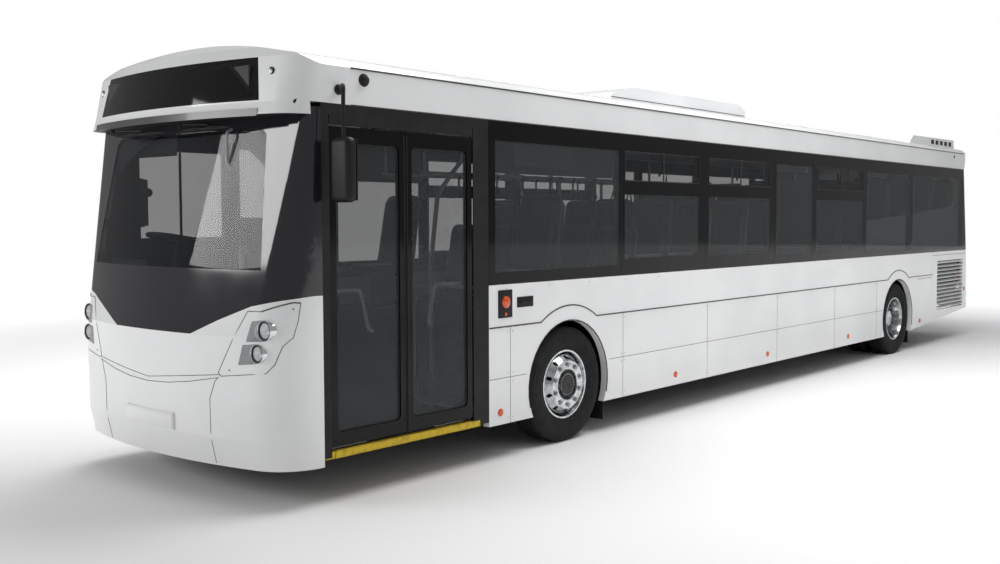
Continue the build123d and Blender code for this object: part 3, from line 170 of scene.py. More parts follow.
# Finishes that follow one pattern: the material's name, colour, roughness and metal, other values of the shader,
# then drift (two colours, blotch in mm, its edges), gloss (roughness range, blotch in mm) and grain (mm, detail,
# depth in mm, strength)
PLAIN_FINISHES = {
    # Enamel on the windscreen's surround under laminated glass, dark, with a blue-grey cast that is painted
    # reflection of the glass's bluish sheen
    "mask_glass": ("laminated_mask_glass", "#1b1c22", 0.09, 0.0, {"Specular_IOR_Level": 0.7}, (),
                   (0.05, 0.1, 420), ()),
    # Moulded polypropylene with a fine leather-like grain, 1.5 mm, drawn at 4 mm
    "black_plastic": ("black_polypropylene", "#141516", 0.5, 0.0, {"Specular_IOR_Level": 0.3},
                      ("#131415", "#1b1c1d", 140), (), (4, 2.0, 0.25, 0.5)),
    # Toughened glass, body tinted grey: dark, clear and mirror smooth
    "tinted_glass": ("grey_tinted_glass", "#4a4d50", 0.02, 0.0, {"Alpha": 0.38, "Specular_IOR_Level": 0.25}, (),
                     (0.015, 0.04, 700), ()),
    # Smoked glass over the route display: nearly opaque
    "smoked_glass": ("smoked_display_glass", "#0b0c0e", 0.03, 0.0, {"Alpha": 0.7, "Specular_IOR_Level": 0.3}, (),
                     (0.02, 0.05, 500), ()),
    # Laminated clear glass of the windscreen and the driver's window
    "clear_glass": ("clear_laminated_glass", "#24272b", 0.015, 0.0, {"Alpha": 0.34, "Specular_IOR_Level": 0.5},
                    (),
                    (0.01, 0.03, 700), ()),
    # Polished forged aluminium rim: bright with a fine turned grain
    "polished_rim": ("polished_aluminium", "#c9cbcd", 0.2, 1.0, {}, ("#d2d4d6", "#a9acae", 60), (0.14, 0.32, 25),
                     ()),
    # Chassis steel under black wax
    "steel": ("waxed_chassis_steel", "#26282a", 0.55, 0.0, {}, ("#222426", "#3a3835", 180), (),
              (14, 3.0, 0.6, 0.4)),
    # Zinc-plated steel of nuts, studs and pivots
    "zinc": ("zinc_plated_steel", "#b4b6b8", 0.32, 1.0, {}, ("#bcbec0", "#8d8f90", 8), (), ()),
    # Moulded flap rubber
    "flap_rubber": ("moulded_rubber", "#131314", 0.7, 0.0, {"Specular_IOR_Level": 0.3},
                    ("#111112", "#1d1d1e", 90), (), (12, 3.0, 0.3, 0.4)),
    # Safety vinyl: grey with mineral chips, 3 mm chips drawn at 8 mm
    "floor_covering": ("safety_vinyl", "#4b4e52", 0.62, 0.0, {}, ("#484b4f", "#585c60", 8, 0.55, 0.68), (),
                       (8, 3.0, 0.3, 0.5)),
    # Moulded ABS seat shell, dark grey with a spark grain
    "seat_shell": ("grey_abs", "#3a3d3f", 0.46, 0.0, {}, ("#383b3d", "#434648", 120), (), (3, 2.0, 0.2, 0.4)),
    # Nylon-coated steel tube of the rails, pale grey, satin
    "rail_steel": ("nylon_coated_tube", "#9a9a9e", 0.35, 0.0, {}, ("#95959a", "#a6a6ab", 60), (), ()),
    # Polycarbonate lamp covers, and the plated bowls behind them
    "lamp_lens": ("clear_polycarbonate", "#e8eaec", 0.06, 0.0, {"Alpha": 0.35, "Specular_IOR_Level": 0.8}, (),
                  (0.04, 0.1, 30), ()),
    "amber_lens": ("amber_polycarbonate", "#e8500c", 0.12, 0.0, {"Coat_Weight": 0.6}, ("#ef5a10", "#c93c06", 12),
                   (), ()),
    "red_lens": ("red_polycarbonate", "#b5140f", 0.12, 0.0, {"Coat_Weight": 0.6}, ("#bf1a12", "#8d0d0a", 12), (),
                 ()),
    "reflector": ("vacuum_plated_reflector", "#dfe1e3", 0.08, 1.0, {}, (), (0.05, 0.16, 12), ()),
    # Opal acrylic of the ceiling light covers
    "light_diffuser": ("opal_acrylic", "#f4f4f0", 0.35, 0.0, {}, (), (0.3, 0.4, 80), ()),
    # Lamp pocket, laid flat on the nose: mid grey, partly a grey moulding and partly painted shade of the recess
    # round the lamp; satin
    "pocket_grey_and_shade": ("grey_pocket_and_painted_shade", "#8e8f91", 0.4, 0.0, {}, ("#898a8c", "#97989a", 90), (), ()),
    # Felt-backed inner wall panels beside the engine bay: dark grey, matt
    "wall_felt": ("dark_wall_felt", "#6c6e71", 0.85, 0.0, {}, ("#67696c", "#747679", 200), (), ()),
    # Ceiling and wall lining: pale melamine laminate
    "lining": ("melamine_lining", "#a9abac", 0.5, 0.0, {}, ("#a3a5a7", "#b3b5b6", 300), (), ()),
    # Silvered mirror behind glass
    "mirror_glass": ("silvered_mirror", "#cfd4d6", 0.03, 1.0, {}, (), (0.02, 0.05, 120), ()),
    # Stone-chip coating inside the wheel boxes: black, rough
    "arch_coating": ("stone_chip_coating", "#0e0e0f", 0.85, 0.0, {"Specular_IOR_Level": 0.2},
                     ("#0c0c0d", "#1a1917", 60), (), (10, 3.0, 1.0, 0.6)),
    # Shaded gap between two panels, and the darker rubber of joints and seals
    "gap": ("shaded_gap", "#4c4e50", 0.8, 0.0, {}, ("#46484a", "#5c5e60", 50), (), ()),
    "seam_rubber": ("dark_seam_rubber", "#1b1c1d", 0.7, 0.0, {}, ("#18191a", "#262728", 50), (), ()),
}


def plain_finish(name, colour, roughness, metallic, sockets, drift, gloss, grain):
    """One finish of the table."""
    finish = new_finish(name, colour, roughness, metallic, **sockets)
    if drift:
        vary_colour(finish, *drift)
    if gloss:
        vary_roughness(finish, *gloss)
    if grain:
        size_mm, detail, depth_mm, strength = grain
        relief(finish, noise(finish, size_mm, detail).outputs["Fac"], depth_mm, strength)
    return finish


def make_finishes(colours):
    """All finishes of the bus, by the name of the real material."""
    made = {key: plain_finish(*row) for key, row in PLAIN_FINISHES.items()}

    # Two-pack enamel, sprayed and polished: white with a faint orange peel about 2 mm across, drawn at 9 mm
    paint = made["white_paint"] = new_finish("white_enamel", colours.paint, 0.22, Coat_Weight=0.5,
                                             Coat_Roughness=0.04)
    drift = vary_colour(paint, colours.paint, "#eef0f1", 900)
    # The white turns towards a warm grey below 0.75 m, up to 22 % of it at 0.2 m: darker towards the bottom
    tint_towards_ground(paint, drift.outputs[2], "#b9b7b2", 0.75, 0.22)
    relief(paint, noise(paint, 9, 1.0).outputs["Fac"], 0.05, 0.25)

    # Dark grey enamel of the lip over the windscreen; on the side moulding the same grey is painted shade under a
    # raised panel edge
    grey = made["grey_paint"] = new_finish("grey_enamel_and_shade_line", colours.grey, 0.3, Coat_Weight=0.3, Coat_Roughness=0.08)
    vary_colour(grey, colours.grey, "#3a3c3e", 350)

    # Black enamel fired on the back of the glass: deep and very smooth
    band = made["black_trim"] = new_finish("black_glass_enamel", colours.trim, 0.06, Specular_IOR_Level=0.2)
    vary_roughness(band, 0.04, 0.1, 260)

    # Tyre rubber: matt charcoal, with a fine mould grain
    tyre = made["tyre_rubber"] = new_finish("tyre_rubber", "#16171a", 0.78, Specular_IOR_Level=0.3)
    worn = vary_colour(tyre, "#131416", "#1f2022", 70)
    # The rubber turns towards a lighter grey below 0.9 m, up to 35 % of it at 0.2 m
    tint_towards_ground(tyre, worn.outputs[2], "#2b2a28", 0.9, 0.35)
    relief(tyre, noise(tyre, 5, 3.0).outputs["Fac"], 0.4, 0.6)

    # Wool moquette: short dense pile, dark green with lighter flecks, weave 2 mm drawn at 6 mm
    moquette = made["seat_fabric"] = new_finish("green_moquette", "#1d3a35", 0.95, Sheen_Weight=0.35,
                                                Sheen_Roughness=0.4)
    vary_colour(moquette, "#17332e", "#2c5149", 14, 0.5, 0.62)
    pile = add_node(moquette, "ShaderNodeTexVoronoi", {"Vector": place_node(moquette).outputs["Object"]},
                    Scale=170)
    relief(moquette, pile.outputs["Distance"], 1.0, 0.6)

    # Yellow step nosing: road-marking enamel over ribbed aluminium
    step = made["step_yellow"] = new_finish("yellow_nosing", "#d8b800", 0.45)
    scuffs = vary_colour(step, "#dcbc06", "#b99a0a", 40, 0.5, 0.7)
    # The yellow turns towards a dark olive below 0.4 m, up to 30 % of it at 0.2 m
    tint_towards_ground(step, scuffs.outputs[2], "#8c7c2c", 0.4, 0.3)

    # Ribbed cloth of the driver's seat: charcoal, cords 5 mm apart
    cord = made["driver_fabric"] = new_finish("charcoal_cord_cloth", "#202225", 0.95, Sheen_Weight=0.3,
                                              Sheen_Roughness=0.4)
    vary_colour(cord, "#1c1e21", "#2b2d31", 20)
    ribs = add_node(cord, "ShaderNodeTexWave", {"Vector": place_node(cord).outputs["Object"]}, Scale=60.0,
                    Distortion=0.4)
    relief(cord, ribs.outputs["Fac"], 0.8, 0.5)

    # Route display: rows of unlit amber diodes 10 mm apart behind a dark mask
    display = made["display_panel"] = new_finish("diode_matrix", "#2d2d30", 0.6)
    dots = add_node(display, "ShaderNodeTexVoronoi", {"Vector": place_node(display).outputs["Object"]}, Scale=95,
                    Randomness=0.0)
    spot = add_node(display, "ShaderNodeMapRange", {"Value": dots.outputs["Distance"]}, From_Min=0.2,
                    From_Max=0.34)
    pick_colour = add_node(display, "ShaderNodeMix", {"Factor": spot.outputs["Result"]}, data_type="RGBA")
    pick_colour.inputs[6].default_value = linear("#6d6a5c")
    pick_colour.inputs[7].default_value = linear("#2b2b2f")
    display.node_tree.links.new(pick_colour.outputs[2], shader_of(display).inputs["Base Color"])
    return made


FINISH = {}


# Modelling steps

def object_mode():
    if bpy.context.object is not None and bpy.context.object.mode != "OBJECT":
        bpy.ops.object.mode_set(mode="OBJECT")
    bpy.ops.object.select_all(action="DESELECT")


def pick(piece):
    object_mode()
    piece.select_set(True)
    bpy.context.view_layer.objects.active = piece


def edit_whole(piece):
    """Edit mode with all of the piece's mesh selected."""
    pick(piece)
    bpy.ops.object.mode_set(mode="EDIT")
    bpy.ops.mesh.select_all(action="SELECT")


def apply_modifier(piece, kind, **settings):
    """Adds one modifier with its settings and applies it."""
    pick(piece)
    modifier = piece.modifiers.new(kind.title(), kind)
    for key, value in settings.items():
        setattr(modifier, key, value)
    bpy.ops.object.modifier_apply(modifier=modifier.name)
    return piece


def block(low, high, bevel=0.0, segments=2):
    """A block between two corners with its edges rounded."""
    object_mode()
    centre = [(a + b) / 2 for a, b in zip(low, high)]
    size = [abs(b - a) for a, b in zip(low, high)]
    bpy.ops.mesh.primitive_cube_add(size=1, location=centre, scale=size)
    piece = bpy.context.object
    bpy.ops.object.transform_apply(location=True, rotation=True, scale=True)
    if bevel:
        apply_modifier(piece, "BEVEL", width=bevel, segments=segments, limit_method="ANGLE")
    return piece


def chain(points, closed=False):
    """Edges from point to point: one vertex, extruded along the line."""
    object_mode()
    points = [Vector(p) for p in points]
    bpy.ops.mesh.primitive_plane_add(size=0.001, location=points[0])
    piece = bpy.context.object
    bpy.ops.object.mode_set(mode="EDIT")
    bpy.ops.mesh.select_all(action="SELECT")
    bpy.ops.mesh.merge(type="CENTER")
    for a, b in zip(points, points[1:]):
        bpy.ops.mesh.extrude_region_move(TRANSFORM_OT_translate={"value": b - a})
    if closed:
        bpy.ops.mesh.select_all(action="SELECT")
        bpy.ops.mesh.edge_face_add()
    return piece


def tidy_mesh(merge=0.00002):
    """Doubles merged and faces turned outwards, in edit mode, then back to object mode."""
    bpy.ops.mesh.select_all(action="SELECT")
    bpy.ops.mesh.remove_doubles(threshold=merge)
    bpy.ops.mesh.normals_make_consistent(inside=False)
    bpy.ops.object.mode_set(mode="OBJECT")


def turned(profile, centre, axis="Y", side=1, steps=48):
    """A closed section of (radius, distance along the axis) turned about an axle."""
    lines = {"X": lambda r, t: (t, 0, r), "Y": lambda r, t: (0, side * t, r), "Z": lambda r, t: (r, 0, t)}
    spin_axis = {"X": (1, 0, 0), "Y": (0, 1, 0), "Z": (0, 0, 1)}[axis]
    centre = Vector(centre)
    points = [centre + Vector(lines[axis](r, t)) for r, t in profile]
    piece = chain(points + [points[0]])
    bpy.ops.mesh.select_all(action="SELECT")
    bpy.ops.mesh.spin(steps=steps, angle=2 * math.pi, center=centre, axis=spin_axis)
    tidy_mesh()
    return piece


def sheet_along(outline, move):
    """A flat outline extruded by a vector into a closed solid."""
    piece = chain(outline, closed=True)
    bpy.ops.mesh.select_all(action="SELECT")
    bpy.ops.mesh.extrude_region_move(TRANSFORM_OT_translate={"value": move})
    tidy_mesh()
    return piece


def tube(points, radius, bend=0.0, sides=4):
    """A round bar with rounded corners, drawn as a curve and turned into a mesh."""
    object_mode()
    bpy.ops.curve.primitive_bezier_curve_add(location=(0, 0, 0))
    rod = bpy.context.object
    points = [Vector(p) for p in points]
    knots = [(points[0], points[0], points[0])]
    for last, corner, following in zip(points, points[1:], points[2:]):
        back, ahead = (last - corner).normalized(), (following - corner).normalized()
        knots.append((corner + back * bend * 1.4, corner + back * bend, corner + back * bend * 0.45))
        knots.append((corner + ahead * bend * 0.45, corner + ahead * bend, corner + ahead * bend * 1.4))
    knots.append((points[-1], points[-1], points[-1]))
    spline = rod.data.splines[0]
    spline.bezier_points.add(len(knots) - 2)
    for point, (left, place, right) in zip(spline.bezier_points, knots):
        point.handle_left_type = point.handle_right_type = "FREE"
        point.handle_left, point.co, point.handle_right = left, place, right
    rod.data.dimensions = "3D"
    rod.data.bevel_depth = radius
    rod.data.bevel_resolution = sides
    rod.data.resolution_u = 5
    rod.data.use_fill_caps = True
    bpy.ops.object.convert(target="MESH")
    return bpy.context.object


def joined(pieces):
    """Several pieces made one object."""
    object_mode()
    for piece in pieces:
        piece.select_set(True)
    bpy.context.view_layer.objects.active = pieces[0]
    if len(pieces) > 1:
        bpy.ops.object.join()
    return bpy.context.object


def copy_of(piece, move=(0, 0, 0), mirror_y=False):
    """A copy with its own mesh, moved, or mirrored to the other side of the bus."""
    copy = piece.copy()
    copy.data = piece.data.copy()
    bpy.context.collection.objects.link(copy)
    edit_whole(copy)
    if mirror_y:
        bpy.ops.transform.resize(value=(1, -1, 1), center_override=(0, 0, 0))
        bpy.ops.mesh.flip_normals()
    if any(move):
        bpy.ops.transform.translate(value=move)
    bpy.ops.object.mode_set(mode="OBJECT")
    return copy


def turn_piece(piece, angle, axis, centre):
    """Turns a piece's mesh about a point, anticlockwise seen from the axis's head."""
    edit_whole(piece)
    bpy.ops.transform.rotate(value=-angle, orient_axis=axis, center_override=centre)
    bpy.ops.object.mode_set(mode="OBJECT")
    return piece


def ring_of(piece, count, centre):
    """Copies of a piece turned about an axle, joined with it."""
    step = 2 * math.pi / count
    return joined([piece] + [turn_piece(copy_of(piece), -step * i, "Y", centre) for i in range(1, count)])


def settle(piece, name, finish, body=ROOT, slot=None, smooth=35):
    """Names a finished piece, gives it its finish and sets it on its body."""
    pick(piece)
    bpy.ops.object.transform_apply(location=True, rotation=True, scale=True)
    bpy.ops.object.shade_smooth_by_angle(angle=math.radians(smooth))
    piece.name = piece.data.name = name
    piece.data.materials.clear()
    piece.data.materials.append(FINISH[finish])
    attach(piece, body)
    slot or finish
    return piece


def roof_level(y):
    """Level of the roof's crown at a distance from the middle."""
    return 3.020 - 5.3184 + math.sqrt(5.3184 ** 2 - y ** 2)


def nose_shape(z, table):
    """Tip, arc radius and corner radius of the body's end at a level, from the table of its sections."""
    z = min(max(z, table[0][0]), table[-1][0])
    for low, high in zip(table, table[1:]):
        if z <= high[0]:
            share = (z - low[0]) / (high[0] - low[0])
            return [a + (b - a) * share for a, b in zip(low[1:], high[1:])]


def on_end(y, z, table, lift=0.0):
    """A point on the curved end of the body, lifted off it along X."""
    tip, arc, corner = nose_shape(z, table)
    reach = arc - corner
    corner_y = SIDE_Y - corner
    corner_x = math.sqrt(reach ** 2 - corner_y ** 2)
    if abs(y) <= arc * corner_y / reach:
        x = math.sqrt(arc ** 2 - y ** 2)
    else:
        x = corner_x + math.sqrt(max(corner ** 2 - (abs(y) - corner_y) ** 2, 0))
    return Vector((NOSE_X + tip - arc + x + lift, y, z))


def line_on_end(points, table, parts=6, lift=0.0):
    """Points along a line of (y, z) corners, laid on the curved end."""
    path = [on_end(*points[0], table, lift)]
    for (y0, z0), (y1, z1) in zip(points, points[1:]):
        for share in (i / parts for i in range(1, parts + 1)):
            path.append(on_end(y0 + (y1 - y0) * share, z0 + (z1 - z0) * share, table, lift))
    return path


def skin_patch(place, columns, rows, wall):
    """A grid whose points are set by a function of two shares from 0 to 1, given a wall."""
    object_mode()
    bpy.ops.mesh.primitive_grid_add(x_subdivisions=columns, y_subdivisions=rows, size=1)
    piece = bpy.context.object
    for vertex in piece.data.vertices:
        vertex.co = place(vertex.co.x + 0.5, vertex.co.y + 0.5)
    return apply_modifier(piece, "SOLIDIFY", thickness=wall, offset=0.0)


def ribbon(path, move, wall):
    """A line of points drawn out by a vector and given a wall."""
    piece = chain(path)
    bpy.ops.mesh.select_all(action="SELECT")
    bpy.ops.mesh.extrude_region_move(TRANSFORM_OT_translate={"value": move})
    bpy.ops.object.mode_set(mode="OBJECT")
    apply_modifier(piece, "SOLIDIFY", thickness=wall, offset=0.0)
    return piece


def side_strip(path, width, sign, proud=0.0012):
    """A narrow strip of even width laid on one side of the body along (x, z) points."""
    upper = [(x, sign * (SIDE_Y - 0.001), z + width / 2) for x, z in path]
    lower = [(x, sign * (SIDE_Y - 0.001), z - width / 2) for x, z in reversed(path)]
    return sheet_along(upper + lower, (0, sign * (0.001 + proud), 0))


def hoop(x0, x1, y, z0, z1, radius, corner):
    """A closed bar round a rectangle with rounded corners, in a plane along the side."""
    middle = (x0 + x1) / 2
    return tube([(middle, y, z0), (x1, y, z0), (x1, y, z1), (x0, y, z1), (x0, y, z0), (middle, y, z0)], radius,
                corner, 2)


def both_sides(pieces):
    """Pieces of the door side joined with their likes on the other side."""
    left = joined(pieces)
    return joined([left, copy_of(left, mirror_y=True)])


# Finishes of the frame's own nodes

NODE_FINISHES = {
    "white_paint": ("front_corners", "front_bumper", "front_panel", "front_dome", "roof", "roof_units",
                    "rear_panel",
                    "side_panel_left", "side_panel_right", "side_grille", "engine_door"),
    "mask_glass": ("windscreen_surround",),
    "clear_glass": ("windscreen",),
    "smoked_glass": ("destination_glass",),
    "tinted_glass": ("side_glass_left", "side_glass_right", "rear_glass", "door_glass_front", "door_glass_rear"),
    "black_trim": ("window_frame_left", "window_frame_right", "door_leaf_front", "door_leaf_rear"),
    "black_plastic": ("door_frame", "dashboard", "steering_wheel", "mirrors", "wipers"),
    "zinc": ("door_crank_front", "door_crank_rear"),
    "step_yellow": ("door_step",),
    "floor_covering": ("floor", "rear_deck", "podiums"),
    "arch_coating": ("wheel_boxes",),
    "steel": ("chassis_rails", "chassis_members", "engine", "front_axle", "rear_axle", "knuckle_left",
              "knuckle_right"),
    "tyre_rubber": ("front_tyre_left", "front_tyre_right", "rear_tyres_left", "rear_tyres_right"),
    "polished_rim": ("front_rim_left", "front_rim_right", "rear_rims_left", "rear_rims_right"),
    "seat_shell": ("seats_left", "seats_right", "driver_seat", "cab_partition"),
    "seat_fabric": ("seat_pads",),
    "rail_steel": ("grab_rails",),
    "flap_rubber": ("mudflaps",),
    "amber_lens": ("lamps",),
}


def repaint_faces(node, finish, wanted):
    """Gives part of a node's faces a second finish, by their middle and normal."""
    mesh = NODES[node].data
    mesh.materials.append(FINISH[finish])
    index = len(mesh.materials) - 1
    for face in mesh.polygons:
        if wanted(face.center, face.normal):
            face.material_index = index


class BusColours(bpy.types.PropertyGroup):
    """Colours that a user would change."""
    paint: bpy.props.StringProperty(name="Body paint", description="Enamel of the body panels, sRGB hex",
                                    default="#f6f7f8")
    trim: bpy.props.StringProperty(name="Glass band", description="Enamel round the glass, sRGB hex",
                                   default="#08090a")
    # The lip's grey also colours the side moulding, where it is painted shade under a raised panel edge
    grey: bpy.props.StringProperty(name="Lip", description="Enamel of the lip over the windscreen, sRGB hex",
                                   default="#303234")


class BusStudio(bpy.types.PropertyGroup):
    """Camera and light."""
    camera_place: bpy.props.FloatVectorProperty(name="Camera", description="Where the camera stands", size=3,
                                                subtype="TRANSLATION", unit="LENGTH",
                                                default=(10.470, 6.625, 1.870))
    camera_aim: bpy.props.FloatVectorProperty(name="Aim", description="Direction of view", size=3,
                                              subtype="DIRECTION",
                                              default=(-0.77923, -0.62420, -0.05630))
    focal_length: bpy.props.FloatProperty(name="Focal length", description="Camera lens", default=38.22,
                                          subtype="DISTANCE_CAMERA")
    sky: bpy.props.FloatProperty(name="Sky", description="Strength of the even light", default=0.34, min=0)
    softbox: bpy.props.FloatProperty(name="Softbox", description="Power of the overhead softbox", default=1150,
                                     unit="POWER")


class BUS_OT_finishes(bpy.types.Operator):
    """Give every node of the frame its finish"""
    bl_idname = "bus.finishes"
    bl_label = "Finishes"

    def execute(self, context):
        FINISH.update(make_finishes(context.scene.bus_colours))
        for finish, nodes in NODE_FINISHES.items():
            for node in nodes:
                mesh = NODES[node].data
                mesh.materials.clear()
                mesh.materials.append(FINISH[finish])
        # The ceiling, and the underside and inner wall of the dome
        repaint_faces("roof", "lining",
                      lambda c, n: abs(c.y) < 1.205 and c.z < 2.985 and n.z < 0.05 and abs(n.x) < 0.5)
        repaint_faces("front_dome", "black_plastic",
                      lambda c, n: n.z < -0.5 or (c.x < 6.3 and c.z < 2.6 and abs(c.y) < 1.2))
        return {"FINISHED"}


class BUS_OT_tyres(bpy.types.Operator):
    """Turn the tyres with ribbed tread and ringed sidewalls"""
    bl_idname = "bus.tyres"
    bl_label = "Tyres"

    def section(self):
        groove, depth = 0.006, 0.014
        wall, bead, rim = TYRE_HALF, 0.111, 0.2855
        points = [(rim, -bead), (0.300, -bead - 0.004), (0.318, -0.1205), (0.322, -0.1235), (0.345, -0.1300),
                  (0.349, -0.1290), (0.353, -0.1310), (0.392, -wall), (0.436, -wall + 0.006),
                  (0.440, -wall + 0.0105),
                  (0.452, -wall + 0.012), (TYRE_R - 0.0085, -wall + 0.026), (TYRE_R - 0.002, -wall + 0.036)]
        edge = wall - 0.045
        points.append((TYRE_R, -edge))
        for y in (-0.060, -0.020, 0.020, 0.060):
            points += [(TYRE_R, y - groove), (TYRE_R - depth, y - groove * 0.6),
                       (TYRE_R - depth, y + groove * 0.6),
                       (TYRE_R, y + groove)]
        mirrored_half = [(r, -y) for r, y in reversed(points[:14])]
        return points + mirrored_half

    def execute(self, context):
        section = self.section()
        for side, sign in SIDES.items():
            hub = (FRONT_HUB.x, sign * FRONT_HUB.y, FRONT_HUB.z)
            tyre = turned(section, hub, steps=96)
            settle(tyre, f"front_tyre_{side}_tread", "tyre_rubber", f"front_wheel_{side}", smooth=28)
            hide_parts(f"front_tyre_{side}")
            pair = []
            for move in (0.5, -0.5):
                place = (REAR_HUB.x, sign * (REAR_HUB.y + move * TWIN_SPACING), REAR_HUB.z)
                pair.append(turned(section, place, steps=96))
            twins = settle(joined(pair), f"rear_tyres_{side}_tread", "tyre_rubber", f"rear_wheels_{side}",
                           smooth=28)
            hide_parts(f"rear_tyres_{side}")
        return {"FINISHED"}


class BUS_OT_wheel_nuts(bpy.types.Operator):
    """Set ten nuts with their studs round each hub"""
    bl_idname = "bus.wheel_nuts"
    bl_label = "Wheel nuts"

    # Wheel, body, hub and the rim's face outwards from the middle of the wheel or of the twins
    WHEELS = (("front", "front_wheel", FRONT_HUB, 0.142),
              ("rear", "rear_wheels", REAR_HUB, TWIN_SPACING / 2 - 0.155))
    NUTS, BOLT_CIRCLE_R = 10, 0.1675

    def nut(self, x, y, z, sign):
        object_mode()
        bpy.ops.mesh.primitive_cylinder_add(vertices=6, radius=0.0185, depth=0.016,
                                            location=(x, y + sign * 0.008, z),
                                            rotation=(math.pi / 2, 0, 0))
        body = bpy.context.object
        bpy.ops.object.transform_apply(location=True, rotation=True, scale=True)
        apply_modifier(body, "BEVEL", width=0.002, segments=1, limit_method="ANGLE")
        washer = turned([(0.009, 0.0), (0.0235, 0.0), (0.0225, 0.005), (0.009, 0.005)], (x, y, z), side=sign,
                        steps=16)
        stud = turned([(0.0, 0.012), (0.010, 0.012), (0.010, 0.019), (0.008, 0.0205), (0.0, 0.0205)], (x, y, z),
                      side=sign,
                      steps=12)
        return joined([body, washer, stud])

    def execute(self, context):
        for side, sign in SIDES.items():
            for name, body, hub, reach in self.WHEELS:
                y = sign * (hub.y + reach)
                first = self.nut(hub.x, y, hub.z + self.BOLT_CIRCLE_R, sign)
                nuts = ring_of(first, self.NUTS, (hub.x, y, hub.z))
                settle(nuts, f"{name}_wheel_nuts_{side}", "zinc", f"{body}_{side}", "polished_rim")
            hub = (FRONT_HUB.x, sign * FRONT_HUB.y, FRONT_HUB.z)
            cap = turned([(0, 0.141), (0.030, 0.1435), (0.070, 0.1435), (0.086, 0.1405), (0.089, 0.134),
                          (0.0895, 0.1135),
                          (0.1212, 0.1128), (0.1212, 0.108), (0, 0.108)], hub, side=sign)
            settle(cap, f"front_hub_cap_{side}", "steel", f"front_wheel_{side}")
        return {"FINISHED"}


class BUS_OT_body_seams(bpy.types.Operator):
    """Lay the seams, the moulding over the arches, its dark grey painted shade under a raised panel edge, and the
    panel screws along both sides
    """
    bl_idname = "bus.body_seams"
    bl_label = "Body seams"

    # Places behind the front hub at which the lower panels meet
    SEAMS = (0.746, -0.762, -2.211, -3.701, -5.2, -6.5)
    MOULDING_Z = 1.025
    # Arch of the moulding over the wheels
    HUMP_R, HUMP_Z = 0.66, 0.48

    def moulding(self, x0, x1):
        path = [(x0, self.MOULDING_Z)]
        start = math.asin((self.MOULDING_Z - self.HUMP_Z) / self.HUMP_R)
        for hub_x in (REAR_HUB.x, FRONT_HUB.x):
            for i in range(13):
                angle = math.pi - start - (math.pi - 2 * start) * i / 12
                path.append((hub_x + self.HUMP_R * math.cos(angle), self.HUMP_Z + self.HUMP_R * math.sin(angle)))
        path.append((x1, self.MOULDING_Z))
        return path

    def execute(self, context):
        for side, sign in SIDES.items():
            front_x = POST_X if sign > 0 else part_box("side_panel_right")[1].x
            # The strip stands for a raised panel edge; its dark grey is painted shade under that edge
            line = side_strip(self.moulding(-4.988, front_x - 0.004), 0.011, sign, 0.0045)
            apply_modifier(line, "BEVEL", width=0.0015, segments=2, limit_method="ANGLE")
            settle(line, f"side_moulding_shade_line_{side}", "grey_paint")
            seams = [side_strip([(FRONT_HUB.x + place - 0.0022, 0.65), (FRONT_HUB.x + place + 0.0022, 0.65)],
                                0.74, sign,
                                0.0004) for place in self.SEAMS]
            for x0, x1 in ((front_x - 0.003, FRONT_HUB.x + 0.55), (FRONT_HUB.x - 0.55, REAR_HUB.x + 0.55)):
                seams.append(side_strip([(x1, 0.632), (x0, 0.632)], 0.0045, sign, 0.0004))
            seams.append(side_strip([(-6.43, 1.30), (-4.988, 1.30)], 0.005, sign, 0.0004))
            seams.append(side_strip([(-4.9902, 1.33), (-4.9858, 1.33)], 0.06, sign, 0.0004))
            seams.append(side_strip([(-4.95, 0.985), (REAR_HUB.x - 0.72, 0.985)], 0.005, sign))
            settle(joined(seams), f"side_seams_{side}", "gap", slot="black_plastic")
            gutter = block((-6.24, sign * (SIDE_Y - 0.004), 2.822), (5.895, sign * (SIDE_Y + 0.007), 2.834),
                           0.003)
            cant = block((-6.27, sign * (SIDE_Y - 0.004), 2.586), (5.895, sign * (SIDE_Y + 0.003), 2.594), 0.0015)
            settle(joined([gutter, cant]), f"gutter_{side}", "grey_paint")
            first = turned([(0.0, -0.001), (0.0055, -0.001), (0.0052, 0.0012), (0.0022, 0.0018), (0.002, 0.0008),
                            (0.0, 0.0008)],
                           (0, sign * SIDE_Y, 0), side=sign, steps=8)
            screws = [copy_of(first, (FRONT_HUB.x + place + dx, 0, z))
                      for place in self.SEAMS for dx in (-0.028, 0.028) for z in (0.318, 0.60, 0.665, 0.985)]
            screws += [copy_of(first, (front_x - 0.2 - i * 0.53, 0, 1.318)) for i in range(20)]
            bpy.data.objects.remove(first)
            settle(joined(screws), f"panel_screws_{side}", "zinc", slot="steel")
        return {"FINISHED"}


